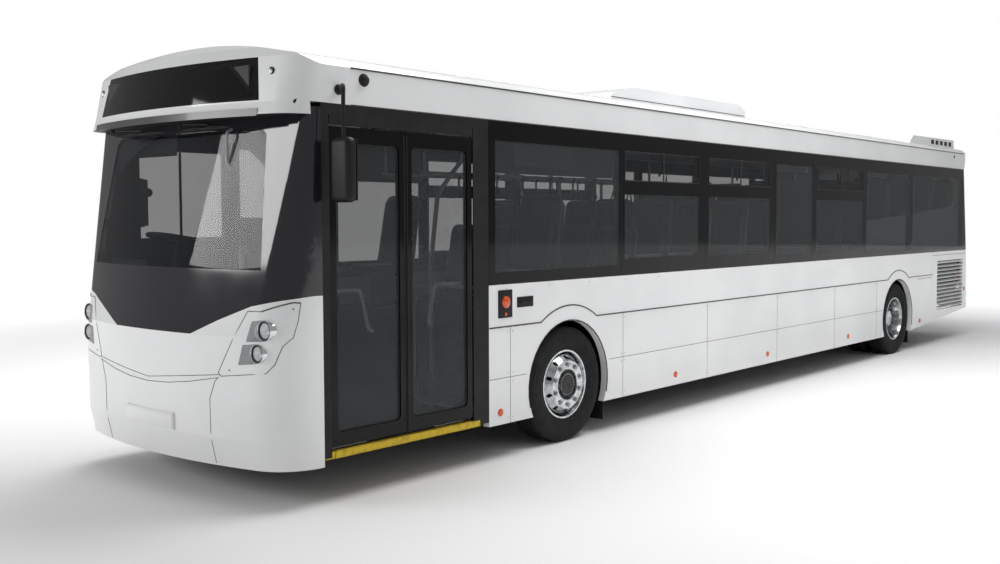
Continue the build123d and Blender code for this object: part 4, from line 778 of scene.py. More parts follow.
class BUS_OT_side_fittings(bpy.types.Operator):
    """Fit the lamp plate, the flap handle, the arch lips, the markers and the filler flap to the sides"""
    bl_idname = "bus.side_fittings"
    bl_label = "Side fittings"

    # Places along the side and levels of the markers, boxes of the service flaps, places of their locks
    MARKERS = ((4.449, 0.370), (1.957, 0.374), (0.102, 0.379), (-2.021, 0.385), (-4.493, 0.390), (-6.400, 0.744))
    FLAPS = ((-1.62, -1.16, 0.70, 0.96), (0.30, 0.86, 0.68, 0.985), (-5.10, -4.62, 0.50, 0.93))
    LOCKS = ((-1.18, 0.83), (0.33, 0.83), (0.83, 0.83), (-4.65, 0.72))
    LIP_R, LIP_Z = 0.526, 0.49

    def arch_lip(self, hub_x):
        angles = [math.pi * i / 24 * 1.27 - 0.135 * math.pi for i in range(25)]
        path = [(hub_x + self.LIP_R * math.cos(a), SIDE_Y - 0.006,
                 self.LIP_Z + self.LIP_R * math.sin(a)) for a in angles]
        return ribbon([p for p in path if p[2] > 0.283], (0, 0.011, 0), 0.008)

    def execute(self, context):
        lips = both_sides([self.arch_lip(FRONT_HUB.x), self.arch_lip(REAR_HUB.x)])
        settle(lips, "wheel_arch_lips", "flap_rubber")
        y = SIDE_Y
        plate = block((4.312, y - 0.002, 1.094), (4.472, y + 0.008, 1.308), 0.006, 3)
        settle(both_sides([plate]), "side_lamp_plates", "black_plastic")
        lens = turned([(0, 0.0), (0.047, 0.0), (0.046, 0.009), (0.038, 0.014), (0.02, 0.0175), (0, 0.0185)],
                      (4.392, y + 0.006, 1.215),
                      steps=28)
        small = turned([(0, 0.0), (0.014, 0.0), (0.013, 0.005), (0, 0.007)], (4.392, y + 0.006, 1.122), steps=16)
        settle(both_sides([lens, small]), "side_repeaters", "amber_lens", slot="lamp_lens")
        recess = block((4.059, y - 0.002, 1.163), (4.252, y + 0.006, 1.245), 0.005, 3)
        grip = tube([(4.09, y + 0.004, 1.204), (4.09, y + 0.022, 1.204), (4.221, y + 0.022, 1.204),
                     (4.221, y + 0.004, 1.204)],
                    0.006, 0.008, 2)
        settle(both_sides([recess, grip]), "flap_handles", "black_plastic")
        beads = [turned([(0, 0.0003), (0.030, 0.0003), (0.029, 0.006), (0.022, 0.0102), (0.01, 0.0118),
                         (0, 0.012)],
                        (x, y, z), steps=20) for x, z in self.MARKERS]
        markers = settle(both_sides(beads), "side_markers", "amber_lens", slot="lamp_lens")
        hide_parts("lamps")
        edges = [hoop(x0, x1, -y - 0.001, z0, z1, 0.0022, 0.02) for x0, x1, z0, z1 in self.FLAPS]
        settle(joined(edges), "service_flap_edges", "gap", slot="black_plastic")
        locks = [turned([(0, -0.001), (0.016, -0.001), (0.015, 0.003), (0.009, 0.0035), (0.008, 0.001),
                         (0, 0.001)],
                        (x, -y, z), side=-1, steps=16) for x, z in self.LOCKS]
        settle(joined(locks), "service_flap_locks", "zinc", slot="steel")
        return {"FINISHED"}


class BUS_OT_front(bpy.types.Operator):
    """Fit headlamps, lip, plate, marker lamps and the route display to the nose"""
    bl_idname = "bus.front"
    bl_label = "Front"

    HEADLAMPS = ((1.080, 1.155, 0.066), (1.040, 1.010, 0.062))

    # Outlines in the front view, (y, z): lamp moulding, corner seam, the seam on the crease and the line of
    # painted crease shade under it, the two lamp pockets
    MOULDING = ((0.943, 1.274), (0.725, 0.872), (0.752, 0.852), (1.098, 0.890), (1.142, 0.947), (1.157, 1.002),
                (1.173, 1.057),
                (1.210, 1.111), (1.222, 1.221), (1.226, 1.327), (1.205, 1.331), (1.149, 1.311), (1.049, 1.274))
    CORNER_SEAM = ((0.730, 0.845), (0.701, 0.822), (0.648, 0.700), (0.648, 0.275))
    CREASE_SEAM_AND_SHADE = (((0, 0.790), (0.735, 0.861)), ((0, 0.760), (0.24, 0.771), (0.461, 0.797), (0.726, 0.841)))
    POCKETS = (((0.985, 1.212), (0.955, 1.082)), ((0.928, 1.062), (0.893, 0.932)))

    def lamp_parts(self, y, z, r):
        """Outer ring, black ring, bowl, cover and bulb of one lamp that faces forward."""
        place = on_end(y, z, NOSE_TABLE, -0.004)
        rings = [turned([(r - 0.0045, -0.05), (r - 0.0045, 0.007), (r - 0.002, 0.009), (r, 0.006), (r, -0.05)],
                        place, "X"),
                 turned([(0.006, -0.036), (0.03, -0.030), (0.044, -0.015), (r - 0.015, 0.0), (r - 0.015, -0.006),
                         (0.042, -0.021), (0.03, -0.035), (0.006, -0.040)], place, "X")]
        return {
            "reflector": joined(rings),
            "black_plastic": turned([(r - 0.0155, -0.012), (r - 0.0155, 0.003), (r - 0.0044, 0.005),
                                     (r - 0.0044, -0.012)], place, "X"),
            "lamp_lens": turned([(0, 0.007), (0.03, 0.006), (r - 0.018, 0.002), (r - 0.0157, 0.0),
                                 (r - 0.020, 0.0),
                                 (0.03, 0.004), (0, 0.005)], place, "X"),
            "zinc": turned([(0, -0.012), (0.010, -0.014), (0.012, -0.03), (0.010, -0.038), (0, -0.038)], place,
                           "X", steps=16),
        }

    def pocket(self, edge, lamp):
        """Grey face between a slanting edge and the near half of the lamp's ring."""
        (y0, z0), (y1, z1) = edge
        y, z, r = lamp

        def place(u, v):
            left = (y0 + (y1 - y0) * v, z0 + (z1 - z0) * v)
            right = (y - (r + 0.0006) * math.sin(math.pi * v), z + (r + 0.0006) * math.cos(math.pi * v))
            return on_end(left[0] + (right[0] - left[0]) * u, left[1] + (right[1] - left[1]) * u, NOSE_TABLE,
                          0.0008)
        return skin_patch(place, 10, 16, 0.001)

    def execute(self, context):
        parts = [self.lamp_parts(*lamp) for lamp in self.HEADLAMPS]
        for finish, name in (("reflector", "headlamp_bowls"), ("lamp_lens", "headlamp_covers"),
                             ("black_plastic", "headlamp_rings"),
                             ("zinc", "headlamp_bulbs")):
            slot = {"reflector": "lamp_lens", "zinc": "lamp_lens"}.get(finish)
            piece = settle(both_sides([p[finish] for p in parts]), name, finish, slot=slot)
            if name == "headlamp_covers":
                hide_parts("lamps")
        # The pockets lie flat on the nose; their grey is partly painted shade of the recess round each lamp
        pockets = [self.pocket(edge, lamp) for edge, lamp in zip(self.POCKETS, self.HEADLAMPS)]
        settle(both_sides(pockets), "headlamp_pockets", "pocket_grey_and_shade", slot="grey_paint")
        # The second crease line is painted shade of the crease; the corner seam, the first crease line and the
        # moulding's outline are seams
        seams = [tube(line_on_end(line, NOSE_TABLE), 0.0024, 0, 1) for line in (self.CORNER_SEAM, *self.CREASE_SEAM_AND_SHADE)]
        seams.append(tube(line_on_end(self.MOULDING + self.MOULDING[:1], NOSE_TABLE, 4), 0.0024, 0, 1))
        # A thicker line along the top edge of the lamp moulding: painted shadow along that edge
        seams.append(tube(line_on_end(self.MOULDING[9:], NOSE_TABLE, 4, -0.001), 0.0045, 0, 2))
        settle(both_sides(seams), "nose_seams_and_painted_shade", "gap", slot="black_plastic")
        dots = [turned([(0, -0.002), (0.006, -0.002), (0.0055, 0.002), (0, 0.0028)], on_end(y, z, NOSE_TABLE),
                       "X", steps=12)
                for y, z in ((1.205, 1.291), (0.820, 0.895))]
        settle(both_sides(dots), "lamp_moulding_screws", "seam_rubber", slot="steel")
        path = [on_end(-1.02 + 1.99 * i / 16, 2.5, DOME_TABLE, 0.002) for i in range(17)]
        lip = ribbon(path, (-0.008, 0, 0.048), 0.004)
        settle(lip, "windscreen_lip", "grey_paint")
        y0 = 0.29
        plate_x = on_end(y0, 0.518, NOSE_TABLE).x
        plate = block((plate_x - 0.004, -y0, 0.462), (plate_x + 0.016, y0, 0.574), 0.004)
        settle(plate, "plate_carrier", "white_paint")
        blank = block((plate_x + 0.014, -y0 + 0.008, 0.469), (plate_x + 0.0185, y0 - 0.008, 0.567), 0.003)
        settle(blank, "blank_plate", "white_paint")
        place = on_end(1.023, 2.782, DOME_TABLE)
        bead = turned([(0, 0.016), (0.010, 0.0145), (0.017, 0.008), (0.019, -0.004), (0.019, -0.02), (0, -0.02)],
                      place, "X", steps=20)
        foot = turned([(0.0192, -0.02), (0.026, -0.02), (0.025, 0.003), (0.0192, 0.005)], place, "X", steps=20)
        settle(both_sides([bead]), "dome_markers", "reflector", slot="lamp_lens")
        settle(both_sides([foot]), "dome_marker_feet", "black_plastic")
        display_x = on_end(0, 2.72, DOME_TABLE).x - 0.075
        display = block((display_x - 0.03, -0.86, 2.63), (display_x, 0.86, 2.83), 0.006)
        settle(display, "route_display", "display_panel", slot="black_plastic")
        handle = tube([(6.335, 0.586, 2.20), (6.375, 0.586, 2.22), (6.375, 0.586, 2.42), (6.335, 0.586, 2.44)],
                      0.010,
                      0.02, 2)
        settle(handle, "windscreen_grip", "rail_steel")
        return {"FINISHED"}


class BUS_OT_wipers(bpy.types.Operator):
    """Hang the two wipers with their arms, blades and rubber from the head of the windscreen"""
    bl_idname = "bus.wipers"
    bl_label = "Wipers"

    # Pivot and far end of each blade across the bus
    WIPERS = ((0.09, 0.62), (-0.79, -0.15))

    def execute(self, context):
        arms, blades = [], []
        x, z = NOSE_X - 0.222, 2.487
        for pivot_y, end_y in self.WIPERS:
            middle = pivot_y + (end_y - pivot_y) * 0.62
            arms.append(turned([(0, -0.012), (0.017, -0.012), (0.019, 0.0), (0.015, 0.012), (0, 0.0125)],
                               (x, pivot_y, z), "Z"))
            arms.append(tube([(x, pivot_y, z), (x + 0.004, pivot_y + 0.08, z + 0.002),
                              (x + 0.006, middle, z - 0.012),
                              (x + 0.003, middle + 0.012, z - 0.03)], 0.0055, 0.01, 2))
            for y0, y1 in ((end_y - 0.50, end_y - 0.22), (end_y - 0.28, end_y)):
                arms.append(tube([(x - 0.002, y0, z - 0.036), (x + 0.002, (y0 + y1) / 2, z - 0.029),
                                  (x - 0.002, y1, z - 0.036)],
                                 0.0032, 0.02, 1))
            blades.append(block((x - 0.011, end_y - 0.56, z - 0.044), (x - 0.003, end_y + 0.03, z - 0.036),
                                0.0015, 1))
        piece = settle(joined(arms), "wiper_arms", "black_plastic")
        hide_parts("wipers")
        settle(joined(blades), "wiper_blades", "flap_rubber")
        return {"FINISHED"}


class BUS_OT_mirrors(bpy.types.Operator):
    """Shape the mirror heads with their glass, cases and arms"""
    bl_idname = "bus.mirrors"
    bl_label = "Mirrors"

    # Section of the arm's foot on the body, and half of a head's width
    FOOT = ((0, 0.0003), (0.034, 0.0003), (0.033, 0.012), (0.024, 0.02), (0, 0.022))
    HEAD_HALF = 0.092

    def head(self, x, y, z0, z1):
        case = block((x - 0.043, y - 0.09, z0), (x + 0.045, y + 0.09, z1), 0.038, 6)
        ring = block((x - 0.045, y - 0.082, z0 + 0.012), (x - 0.036, y + 0.082, z1 - 0.012), 0.004, 2)
        glass = block((x - 0.0462, y - 0.074, z0 + 0.02), (x - 0.040, y + 0.074, z1 - 0.13), 0.003, 2)
        wide = block((x - 0.0462, y - 0.074, z1 - 0.118), (x - 0.040, y + 0.074, z1 - 0.02), 0.003, 2)
        return [case, ring], [glass, wide]

    def execute(self, context):
        low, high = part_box("mirrors")
        near_y = high.y - self.HEAD_HALF
        near_x = high.x - 0.045
        case, glass = self.head(near_x, near_y, 1.957, 2.363)
        arm = tube([(near_x - 0.105, SIDE_Y + 0.006, 2.68), (near_x - 0.03, near_y - 0.03, 2.70),
                    (near_x, near_y, 2.60),
                    (near_x, near_y, 2.33)], 0.013, 0.04, 3)
        foot = turned(self.FOOT, (near_x - 0.105, SIDE_Y, 2.68))
        off_x, off_y = NOSE_X - 0.765, low.y + self.HEAD_HALF
        off_case, off_glass = self.head(off_x, off_y, 1.782, 2.178)
        off_arm = tube([(off_x, off_y + 0.03, 2.06), (off_x, -SIDE_Y - 0.01, 2.06)], 0.014, 0.0, 3)
        off_foot = turned(self.FOOT, (off_x, -SIDE_Y, 2.06), side=-1)
        whole = settle(joined(case + [arm, foot] + off_case + [off_arm, off_foot]), "mirror_cases",
                       "black_plastic")
        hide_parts("mirrors")
        settle(joined(glass + off_glass), "mirror_glasses", "mirror_glass", slot="clear_glass")
        return {"FINISHED"}


class BUS_OT_doors(bpy.types.Operator):
    """Fit seals, rails and latches to the door leaves"""
    bl_idname = "bus.doors"
    bl_label = "Doors"

    # Half a leaf, its thickness, its level, and the lower edge of the brush that clears the crank under it
    LEAF_HALF, LEAF_WALL = 0.328, 0.040
    LEAF_Z, BRUSH_Z = 0.380, 0.3675

    def execute(self, context):
        for name in ("front", "rear"):
            low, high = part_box(f"door_glass_{name}")
            body = f"door_leaf_{name}"
            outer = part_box(body)[1].y
            middle = (low.x + high.x) / 2
            x0, x1 = middle - self.LEAF_HALF, middle + self.LEAF_HALF
            gaskets = [hoop(low.x + 0.004, high.x - 0.004, y, low.z + 0.004, high.z - 0.004, 0.006, 0.04)
                       for y in (outer - 0.016, outer - 0.024)]
            meeting, way = (x0, 1) if name == "front" else (x1, -1)
            gaskets.append(block((meeting - 0.0045, outer - 0.034, 0.382),
                                 (meeting + 0.0045, outer - 0.004, 2.44), 0.002))
            gaskets.append(block((x0 + 0.01, outer - 0.024, self.BRUSH_Z),
                                 (x1 - 0.01, outer - 0.018, self.LEAF_Z), 0.001))
            settle(joined(gaskets), f"door_seals_{name}", "seam_rubber", body, "flap_rubber")
            inner = outer - self.LEAF_WALL
            rail_y = inner - 0.034
            far, bend, low_x = (middle + way * d for d in (0.236, 0.016, -0.054))
            rail = tube([(far, inner + 0.004, 1.38), (far, rail_y, 1.38), (bend, rail_y, 1.38),
                         (low_x, rail_y, 1.10),
                         (low_x, inner + 0.004, 1.10)], 0.0125, 0.03, 3)
            settle(rail, f"door_rail_{name}", "rail_steel", body)
            stops = [block((middle - 0.06, inner - 0.006, z - 0.02), (middle + 0.06, inner + 0.002, z + 0.02),
                           0.003)
                     for z in (0.43, 2.395)]
            edge = meeting + way * 0.007
            stops.append(block((edge - 0.005, outer - 0.001, 0.40), (edge + 0.005, outer + 0.0015, 2.42), 0.0006,
                               1))
            settle(joined(stops), f"door_fittings_{name}", "black_plastic", body)
        ribs = [block((4.68, y - 0.0025, 0.3445), (6.04, y + 0.0025, 0.3475), 0.001, 1)
                for y in (SIDE_Y - 0.010 - i * 0.010 for i in range(5))]
        settle(joined(ribs), "step_ribs", "step_yellow")
        return {"FINISHED"}


class BUS_OT_glazing(bpy.types.Operator):
    """Glaze both sides: fixed tinted panes, clear sliding hoppers in their frames, and rubber joints"""
    bl_idname = "bus.glazing"
    bl_label = "Side glazing"

    # Bays measured back from the door post: pane's start and end, opening's start and end, sill, sliding top
    BAYS = ((0.0, 1.724, 0.075, 1.680, 1.444, False), (1.730, 3.147, 1.774, 3.019, 1.494, True),
            (3.153, 4.595, 3.208, 4.490, 1.480, True), (4.601, 5.552, 4.640, 5.540, 1.444, False),
            (5.558, 7.071, 5.650, 6.990, 1.452, True), (7.077, 8.671, 7.120, 8.630, 1.400, False),
            (8.677, 10.815, 8.725, 10.815, 1.400, False))
    HEAD, HOPPER, RAIL = 2.440, 2.185, 2.062
    CANT, WALL = 2.590, 0.007

    def execute(self, context):
        for side, sign in SIDES.items():
            tinted, clear, band, rubber, metal = [], [], [], [], []

            def pane(into, x0, x1, z0, z1, sunk=0.0):
                into.append(block((x0, sign * (SIDE_Y - self.WALL), z0), (x1, sign * (SIDE_Y - sunk), z1)))

            for start, end, x_in, x_out, sill, slides in self.BAYS:
                front, back = POST_X - start, POST_X - end
                if sign < 0 and start == 0:
                    front = 4.64
                a, b = POST_X - x_out, POST_X - x_in
                pane(band, back, front, BELT_Z, sill)
                pane(band, back, front, self.HEAD, self.CANT)
                pane(band, b, front, sill, self.HEAD)
                if back < a:
                    pane(band, back, a, sill, self.HEAD)
                if slides:
                    pane(tinted, a, b, sill, self.RAIL)
                    pane(band, a, b, self.RAIL, self.HOPPER)
                    pane(clear, a, b, self.HOPPER, self.HEAD, 0.0015)
                    rubber.append(hoop(a, b, sign * (SIDE_Y - 0.001), self.HOPPER, self.HEAD, 0.005, 0.012))
                    middle = (a + b) / 2
                    rubber.append(block((middle - 0.010, sign * (SIDE_Y - 0.003), self.HOPPER),
                                        (middle + 0.010, sign * (SIDE_Y + 0.002), self.HEAD), 0.002))
                    metal.append(block((middle + 0.03, sign * (SIDE_Y - 0.03), self.HOPPER + 0.05),
                                       (middle + 0.05, sign * (SIDE_Y - 0.015), self.HEAD - 0.05), 0.004))
                else:
                    pane(tinted, a, b, sill, self.HEAD)
                rubber.append(block((back - 0.0045, sign * (SIDE_Y - 0.006), BELT_Z + 0.002),
                                    (back + 0.0015, sign * (SIDE_Y - 0.001), self.CANT - 0.002)))
            tail_end = ((-6.240, BELT_Z), (-6.450, BELT_Z), (-6.276, self.CANT), (-6.240, self.CANT))
            band.append(sheet_along([(x, sign * (SIDE_Y - self.WALL), z) for x, z in tail_end],
                                    (0, sign * self.WALL, 0)))
            if sign < 0:
                front_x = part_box("side_glass_right")[1].x
                for x0, x1, z0, z1 in ((4.64, front_x, BELT_Z, 1.444), (4.64, 5.189, 2.440, self.CANT),
                                       (5.05, 5.189, 1.444, 2.440),
                                       (5.189, front_x, 1.444, 1.69), (5.189, front_x, 2.40, self.CANT),
                                       (5.970, front_x, 1.69, 2.40)):
                    pane(band, x0, x1, z0, z1)
                pane(tinted, 4.64, 5.05, 1.444, 2.440)
                pane(clear, 5.189, 5.970, 1.69, 2.40, 0.0015)
                rubber += [hoop(5.189, 5.585, sign * (SIDE_Y - 0.001), 1.69, 2.40, 0.006, 0.03),
                           hoop(5.575, 5.970, sign * (SIDE_Y - 0.003), 1.69, 2.40, 0.006, 0.03)]
            settle(joined(band), f"glass_band_{side}", "black_trim")
            piece = settle(joined(tinted), f"side_panes_{side}", "tinted_glass")
            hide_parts(f"side_glass_{side}")
            settle(joined(clear), f"sliding_panes_{side}", "clear_glass", slot="tinted_glass")
            settle(joined(rubber), f"pane_seals_{side}", "seam_rubber", slot="flap_rubber")
            settle(joined(metal), f"hopper_pulls_{side}", "black_plastic")
        felt = sheet_along([(-2.56, 1.178, 1.38), (-2.56, 1.178, 1.805), (-4.22, 1.178, 1.903),
                            (-6.22, 1.178, 2.047),
                            (-6.40, 1.178, 1.38)], (0, 0.0115, 0))
        settle(both_sides([felt]), "rear_wall_panels", "wall_felt", slot="seat_shell")
        band = block((2.90, 1.165, 2.20), (4.50, 1.186, 2.585), 0.004)
        settle(both_sides([band]), "side_display_housings", "seam_rubber", slot="black_plastic")
        display = block((3.45, 1.1865, 2.26), (4.20, 1.1885, 2.46), 0.001, 1)
        settle(display, "side_route_display", "display_panel", slot="black_plastic")
        return {"FINISHED"}


class BUS_OT_seat_pads(bpy.types.Operator):
    """Pad the passengers' and the driver's seats with stuffed, sewn moquette"""
    bl_idname = "bus.seat_pads"
    bl_label = "Seat pads"

    # Seat rows: x of the back, level they stand on, level of the top
    ROWS = ((3.466, 1.040, 2.070), (2.480, 0.600, 1.790), (1.903, 0.860, 2.047), (1.153, 0.860, 2.047),
            (0.403, 0.860, 2.047),
            (-1.296, 1.120, 2.310), (-2.046, 1.120, 2.310), (-2.796, 1.120, 2.310), (-3.546, 1.120, 2.310),
            (-4.454, 1.250, 2.440), (-5.204, 1.250, 2.440))
    BENCH = (-6.060, 1.250, 2.440)
    CAP = 0.012

    # Sewn seams of a seat: distance from its middle line, and the groove's depth and width
    SEAM_Y, SEAM_DEPTH, SEAM_WIDTH = 0.130, 0.005, 0.007

    def stuffed(self, piece, corner, middle=0.0, quads=0.006):
        """Rounds a slab, swells it with cloth under pressure, draws in its two long seams and thins its mesh."""
        apply_modifier(piece, "BEVEL", width=corner, segments=3, limit_method="ANGLE")
        apply_modifier(piece, "REMESH", mode="VOXEL", voxel_size=quads)
        pick(piece)
        rest = [v.co.copy() for v in piece.data.vertices]
        cloth = piece.modifiers.new("Cloth", "CLOTH")
        cloth.settings.use_pressure = True
        cloth.settings.uniform_pressure_force = 4.0
        cloth.settings.effector_weights.gravity = 0.0
        for step in range(1, 21):
            bpy.context.scene.frame_set(step)
        graph = bpy.context.evaluated_depsgraph_get()
        swollen = [v.co.copy() for v in piece.evaluated_get(graph).data.vertices]
        piece.modifiers.clear()
        bpy.context.scene.frame_set(1)
        for vertex, start, end in zip(piece.data.vertices, rest, swollen):
            move = end - start
            if move.length > self.CAP:
                move.length = self.CAP
            vertex.co = start + move
        piece.data.update()
        inward = [-v.normal * self.SEAM_DEPTH for v in piece.data.vertices]
        for vertex, move in zip(piece.data.vertices, inward):
            off = (abs(vertex.co.y - middle) - self.SEAM_Y) / self.SEAM_WIDTH
            vertex.co += move * math.exp(-off * off)
        apply_modifier(piece, "DECIMATE", ratio=0.11)
        return piece

    def pad(self):
        """Cushion of a seat that stands at the origin, its top 0 high."""
        outline = [(0.128, -0.205, -0.014), (0.508, -0.205, -0.003), (0.512, -0.205, 0.034),
                   (0.480, -0.205, 0.044),
                   (0.188, -0.205, 0.044)]
        return self.stuffed(sheet_along(outline, (0, 0.410, 0)), 0.016)

    def back(self, height):
        """Backrest pad between two levels over the cushion, leaning with the shell, rounded at its head."""
        lean = 0.11 * 0.076 / (height + 0.016)
        foot = 0.12 - lean
        outline = [(foot + 0.008, -0.2, 0.066), (0.021, -0.2, height - 0.018), (0.052, -0.2, height - 0.03),
                   (foot + 0.062, -0.2, 0.070)]
        slab = sheet_along(outline, (0, 0.40, 0))
        cutter = block((-0.3, -0.2, -0.2), (0.5, 0.2, height - 0.018))
        pick(cutter)
        apply_modifier(cutter, "BEVEL", width=0.085, segments=5, limit_method="ANGLE")
        clip = slab.modifiers.new("Clip", "BOOLEAN")
        clip.operation, clip.object = "INTERSECT", cutter
        pick(slab)
        bpy.ops.object.modifier_apply(modifier=clip.name)
        bpy.data.objects.remove(cutter)
        return self.stuffed(slab, 0.010)

    def places(self):
        found = []
        for x, base, top in self.ROWS:
            for y in ((0.86,) if base == 1.040 else (0.945, 0.475)):
                found += [(x, y, base, top), (x, -y, base, top)]
        x, base, top = self.BENCH
        return found + [(x, y, base if y else 0.860, top) for y in (0.945, 0.475, 0, -0.475, -0.945)]

    def execute(self, context):
        cushion = self.pad()
        kinds, cushions, backs = {}, [], []
        for x, y, base, top in self.places():
            rise = 0.44 if base < 1.040 else 0.33
            height = min(round(top - base - rise, 2), 0.86)
            if height not in kinds:
                kinds[height] = self.back(height)
            cushions.append(copy_of(cushion, (x, y, base + rise + 0.0002)))
            backs.append(copy_of(kinds[height], (x, y, top - height)))
        for loose in [cushion, *kinds.values()]:
            bpy.data.objects.remove(loose)
        for name, pads in (("seat_cushions", cushions), ("seat_backs", backs)):
            piece = settle(joined(pads), name, "seat_fabric", smooth=60)
            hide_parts("seat_pads")
        grips = []
        for x, y, base, top in self.places():
            if y:
                grips.append(tube([(x - 0.012, y - 0.15, top - 0.10), (x - 0.045, y - 0.13, top - 0.075),
                                   (x - 0.045, y + 0.13, top - 0.075),
                                   (x - 0.012, y + 0.15, top - 0.10)], 0.010, 0.02, 2))
        settle(joined(grips), "seat_grips", "step_yellow", slot="rail_steel")
        self.driver(NOSE_X - 1.745, 0.70)
        return {"FINISHED"}

    def driver(self, x, z):
        """The driver's shell, pads, bellows and headrest, inside the room of the frame's seat."""
        def slab(points, half):
            return sheet_along([(x + a, DRIVER_Y - half, z + b) for a, b in points], (0, 2 * half, 0))
        shell = slab([(0.082, 0.516), (-0.038, 1.288), (-0.043, 1.478), (-0.008, 1.480), (0.0, 1.300),
                      (0.118, 0.566),
                      (0.553, 0.588), (0.556, 0.557), (0.120, 0.507)], 0.245)
        apply_modifier(shell, "BEVEL", width=0.012, segments=3, limit_method="ANGLE")
        settle(shell, "driver_seat_shell", "black_plastic", slot="seat_shell")
        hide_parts("driver_seat")
        pads = [self.stuffed(slab([(0.140, 0.572), (0.545, 0.594), (0.548, 0.616), (0.200, 0.604)], 0.225),
                             0.010, DRIVER_Y),
                self.stuffed(slab([(0.122, 0.635), (0.012, 1.280), (0.046, 1.285), (0.172, 0.640)], 0.225),
                             0.012, DRIVER_Y),
                self.stuffed(slab([(0.004, 1.315), (-0.002, 1.455), (0.014, 1.465), (0.044, 1.318)], 0.130),
                             0.008, DRIVER_Y)]
        piece = settle(joined(pads), "driver_seat_pads", "driver_fabric", slot="seat_fabric", smooth=60)
        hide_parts("driver_seat")
        folds = [(0, 0.0005)] + [(0.150 - 0.018 * (i % 2), 0.0005 + 0.05 * i) for i in range(11)] + [(0, 0.5005)]
        base = turned(folds, (x + 0.31, DRIVER_Y, z), "Z", steps=32)
        settle(base, "driver_seat_bellows", "flap_rubber")


class BUS_OT_saloon(bpy.types.Operator):
    """Fit straps, joints, lights, ducts and bells to the saloon"""
    bl_idname = "bus.saloon"
    bl_label = "Saloon"

    RAIL = (0.236, 2.230)
    # Section of the air duct between ceiling and windows: y, z
    DUCT = ((0.800, 2.912), (0.820, 2.895), (1.150, 2.640), (1.190, 2.604), (1.203, 2.604), (1.203, 2.790),
            (1.090, 2.855),
            (1.000, 2.877))
    POLES = (2.450, 1.130, -1.330, -2.830)
    STRAPS = (3.35, 3.005, 2.595, 2.238, 1.90, 1.55, 0.6, 0.2, -0.2, -0.6)

    def execute(self, context):
        y, z = self.RAIL
        collars = [turned([(0.0165, -0.03), (0.021, -0.028), (0.021, 0.028), (0.0165, 0.03)], (x, y, z), "X",
                          steps=20)
                   for x in self.POLES]
        for x, foot in zip(self.POLES, (0.345, 0.345, 0.860, 0.860)):
            collars.append(turned([(0.0165, 0.003), (0.038, 0.003), (0.036, 0.012), (0.0165, 0.016)],
                                  (x, y, foot), "Z", steps=20))
        settle(both_sides(collars), "rail_joints", "black_plastic")
        webs, rings = [], []
        for x in self.STRAPS:
            webs.append(block((x - 0.013, y - 0.002, z - 0.105), (x + 0.013, y + 0.002, z - 0.017), 0.0008, 1))
            webs.append(turned([(0.0163, -0.013), (0.0195, -0.013), (0.0195, 0.013), (0.0163, 0.013)], (x, y, z),
                               "X", steps=16))
            rings.append(tube([(x, y, z - 0.10), (x + 0.012, y, z - 0.10), (x + 0.055, y, z - 0.185),
                               (x - 0.055, y, z - 0.185),
                               (x - 0.012, y, z - 0.10), (x, y, z - 0.10)], 0.008, 0.02, 2))
        settle(both_sides(webs), "strap_webs", "black_plastic", slot="seat_fabric")
        settle(both_sides(rings), "strap_handles", "seam_rubber", slot="rail_steel")
        bells = [block((x - 0.022, y - 0.032, 1.42), (x + 0.022, y - 0.0165, 1.50), 0.006) for x in (2.450,
                                                                                                     1.130,
                                                                                                     -1.330)]
        settle(both_sides(bells), "stop_buttons", "red_lens", slot="lamp_lens")
        lights, ducts = [], []
        for x0, x1 in ((-5.8, -4.0), (-3.9, -2.1), (-2.0, -0.2), (-0.1, 1.7), (1.8, 3.6), (3.7, 5.2)):
            lights.append(block((x0, 0.66, 2.900), (x1, 0.76, 2.924), 0.006))
            ducts.append(sheet_along([(x0 - 0.03, a, b) for a, b in self.DUCT], (x1 - x0 + 0.06, 0, 0)))
        settle(both_sides(lights), "ceiling_lights", "light_diffuser", slot="lamp_lens")
        settle(both_sides(ducts), "air_ducts", "lining", slot="seat_shell")
        slots = [block((x, 0.940, 2.788), (x + 0.11, 0.962, 2.800), 0.002,
                       1) for x in (-5.7 + i * 0.19 for i in range(56))]
        settle(both_sides(slots), "duct_slots", "gap", slot="black_plastic")
        covings = [block((x0 + 0.02, 1.176, BELT_Z - 0.05), (x1 - 0.02, 1.1895, BELT_Z + 0.03), 0.004)
                   for x0, x1 in ((-6.1, DECK_FRONT), (DECK_FRONT, 4.5))]
        settle(both_sides(covings), "sill_trims", "lining", slot="seat_shell")
        edges = [block((x - 0.040, -0.325, z0), (x + 0.004, 0.325, z1), 0.004)
                 for x, z0, z1 in ((DECK_FRONT, 0.842, 0.864), (STEP_X, 0.585, 0.606))]
        settle(joined(edges), "step_nosings", "step_yellow")
        x, y0, y1, z0, z1 = 4.50, 0.36, 1.14, 0.362, 1.32
        screen = tube([(x, 0.75, z0), (x, y1, z0), (x, y1, z1), (x, y0, z1), (x, y0, z0), (x, 0.75, z0)], 0.014,
                      0.08, 2)
        settle(screen, "entrance_screen_frame", "rail_steel")
        low_rail = tube([(1.36, 1.150, 1.505), (1.36, 1.118, 1.505), (2.78, 1.118, 1.505), (2.78, 1.150, 1.505)],
                        0.016,
                        0.02, 3)
        settle(both_sides([low_rail]), "window_rails", "rail_steel")
        pane = block((4.496, 0.40, 0.44), (4.502, 1.10, 1.26), 0.001, 1)
        settle(pane, "entrance_screen", "clear_glass")
        return {"FINISHED"}


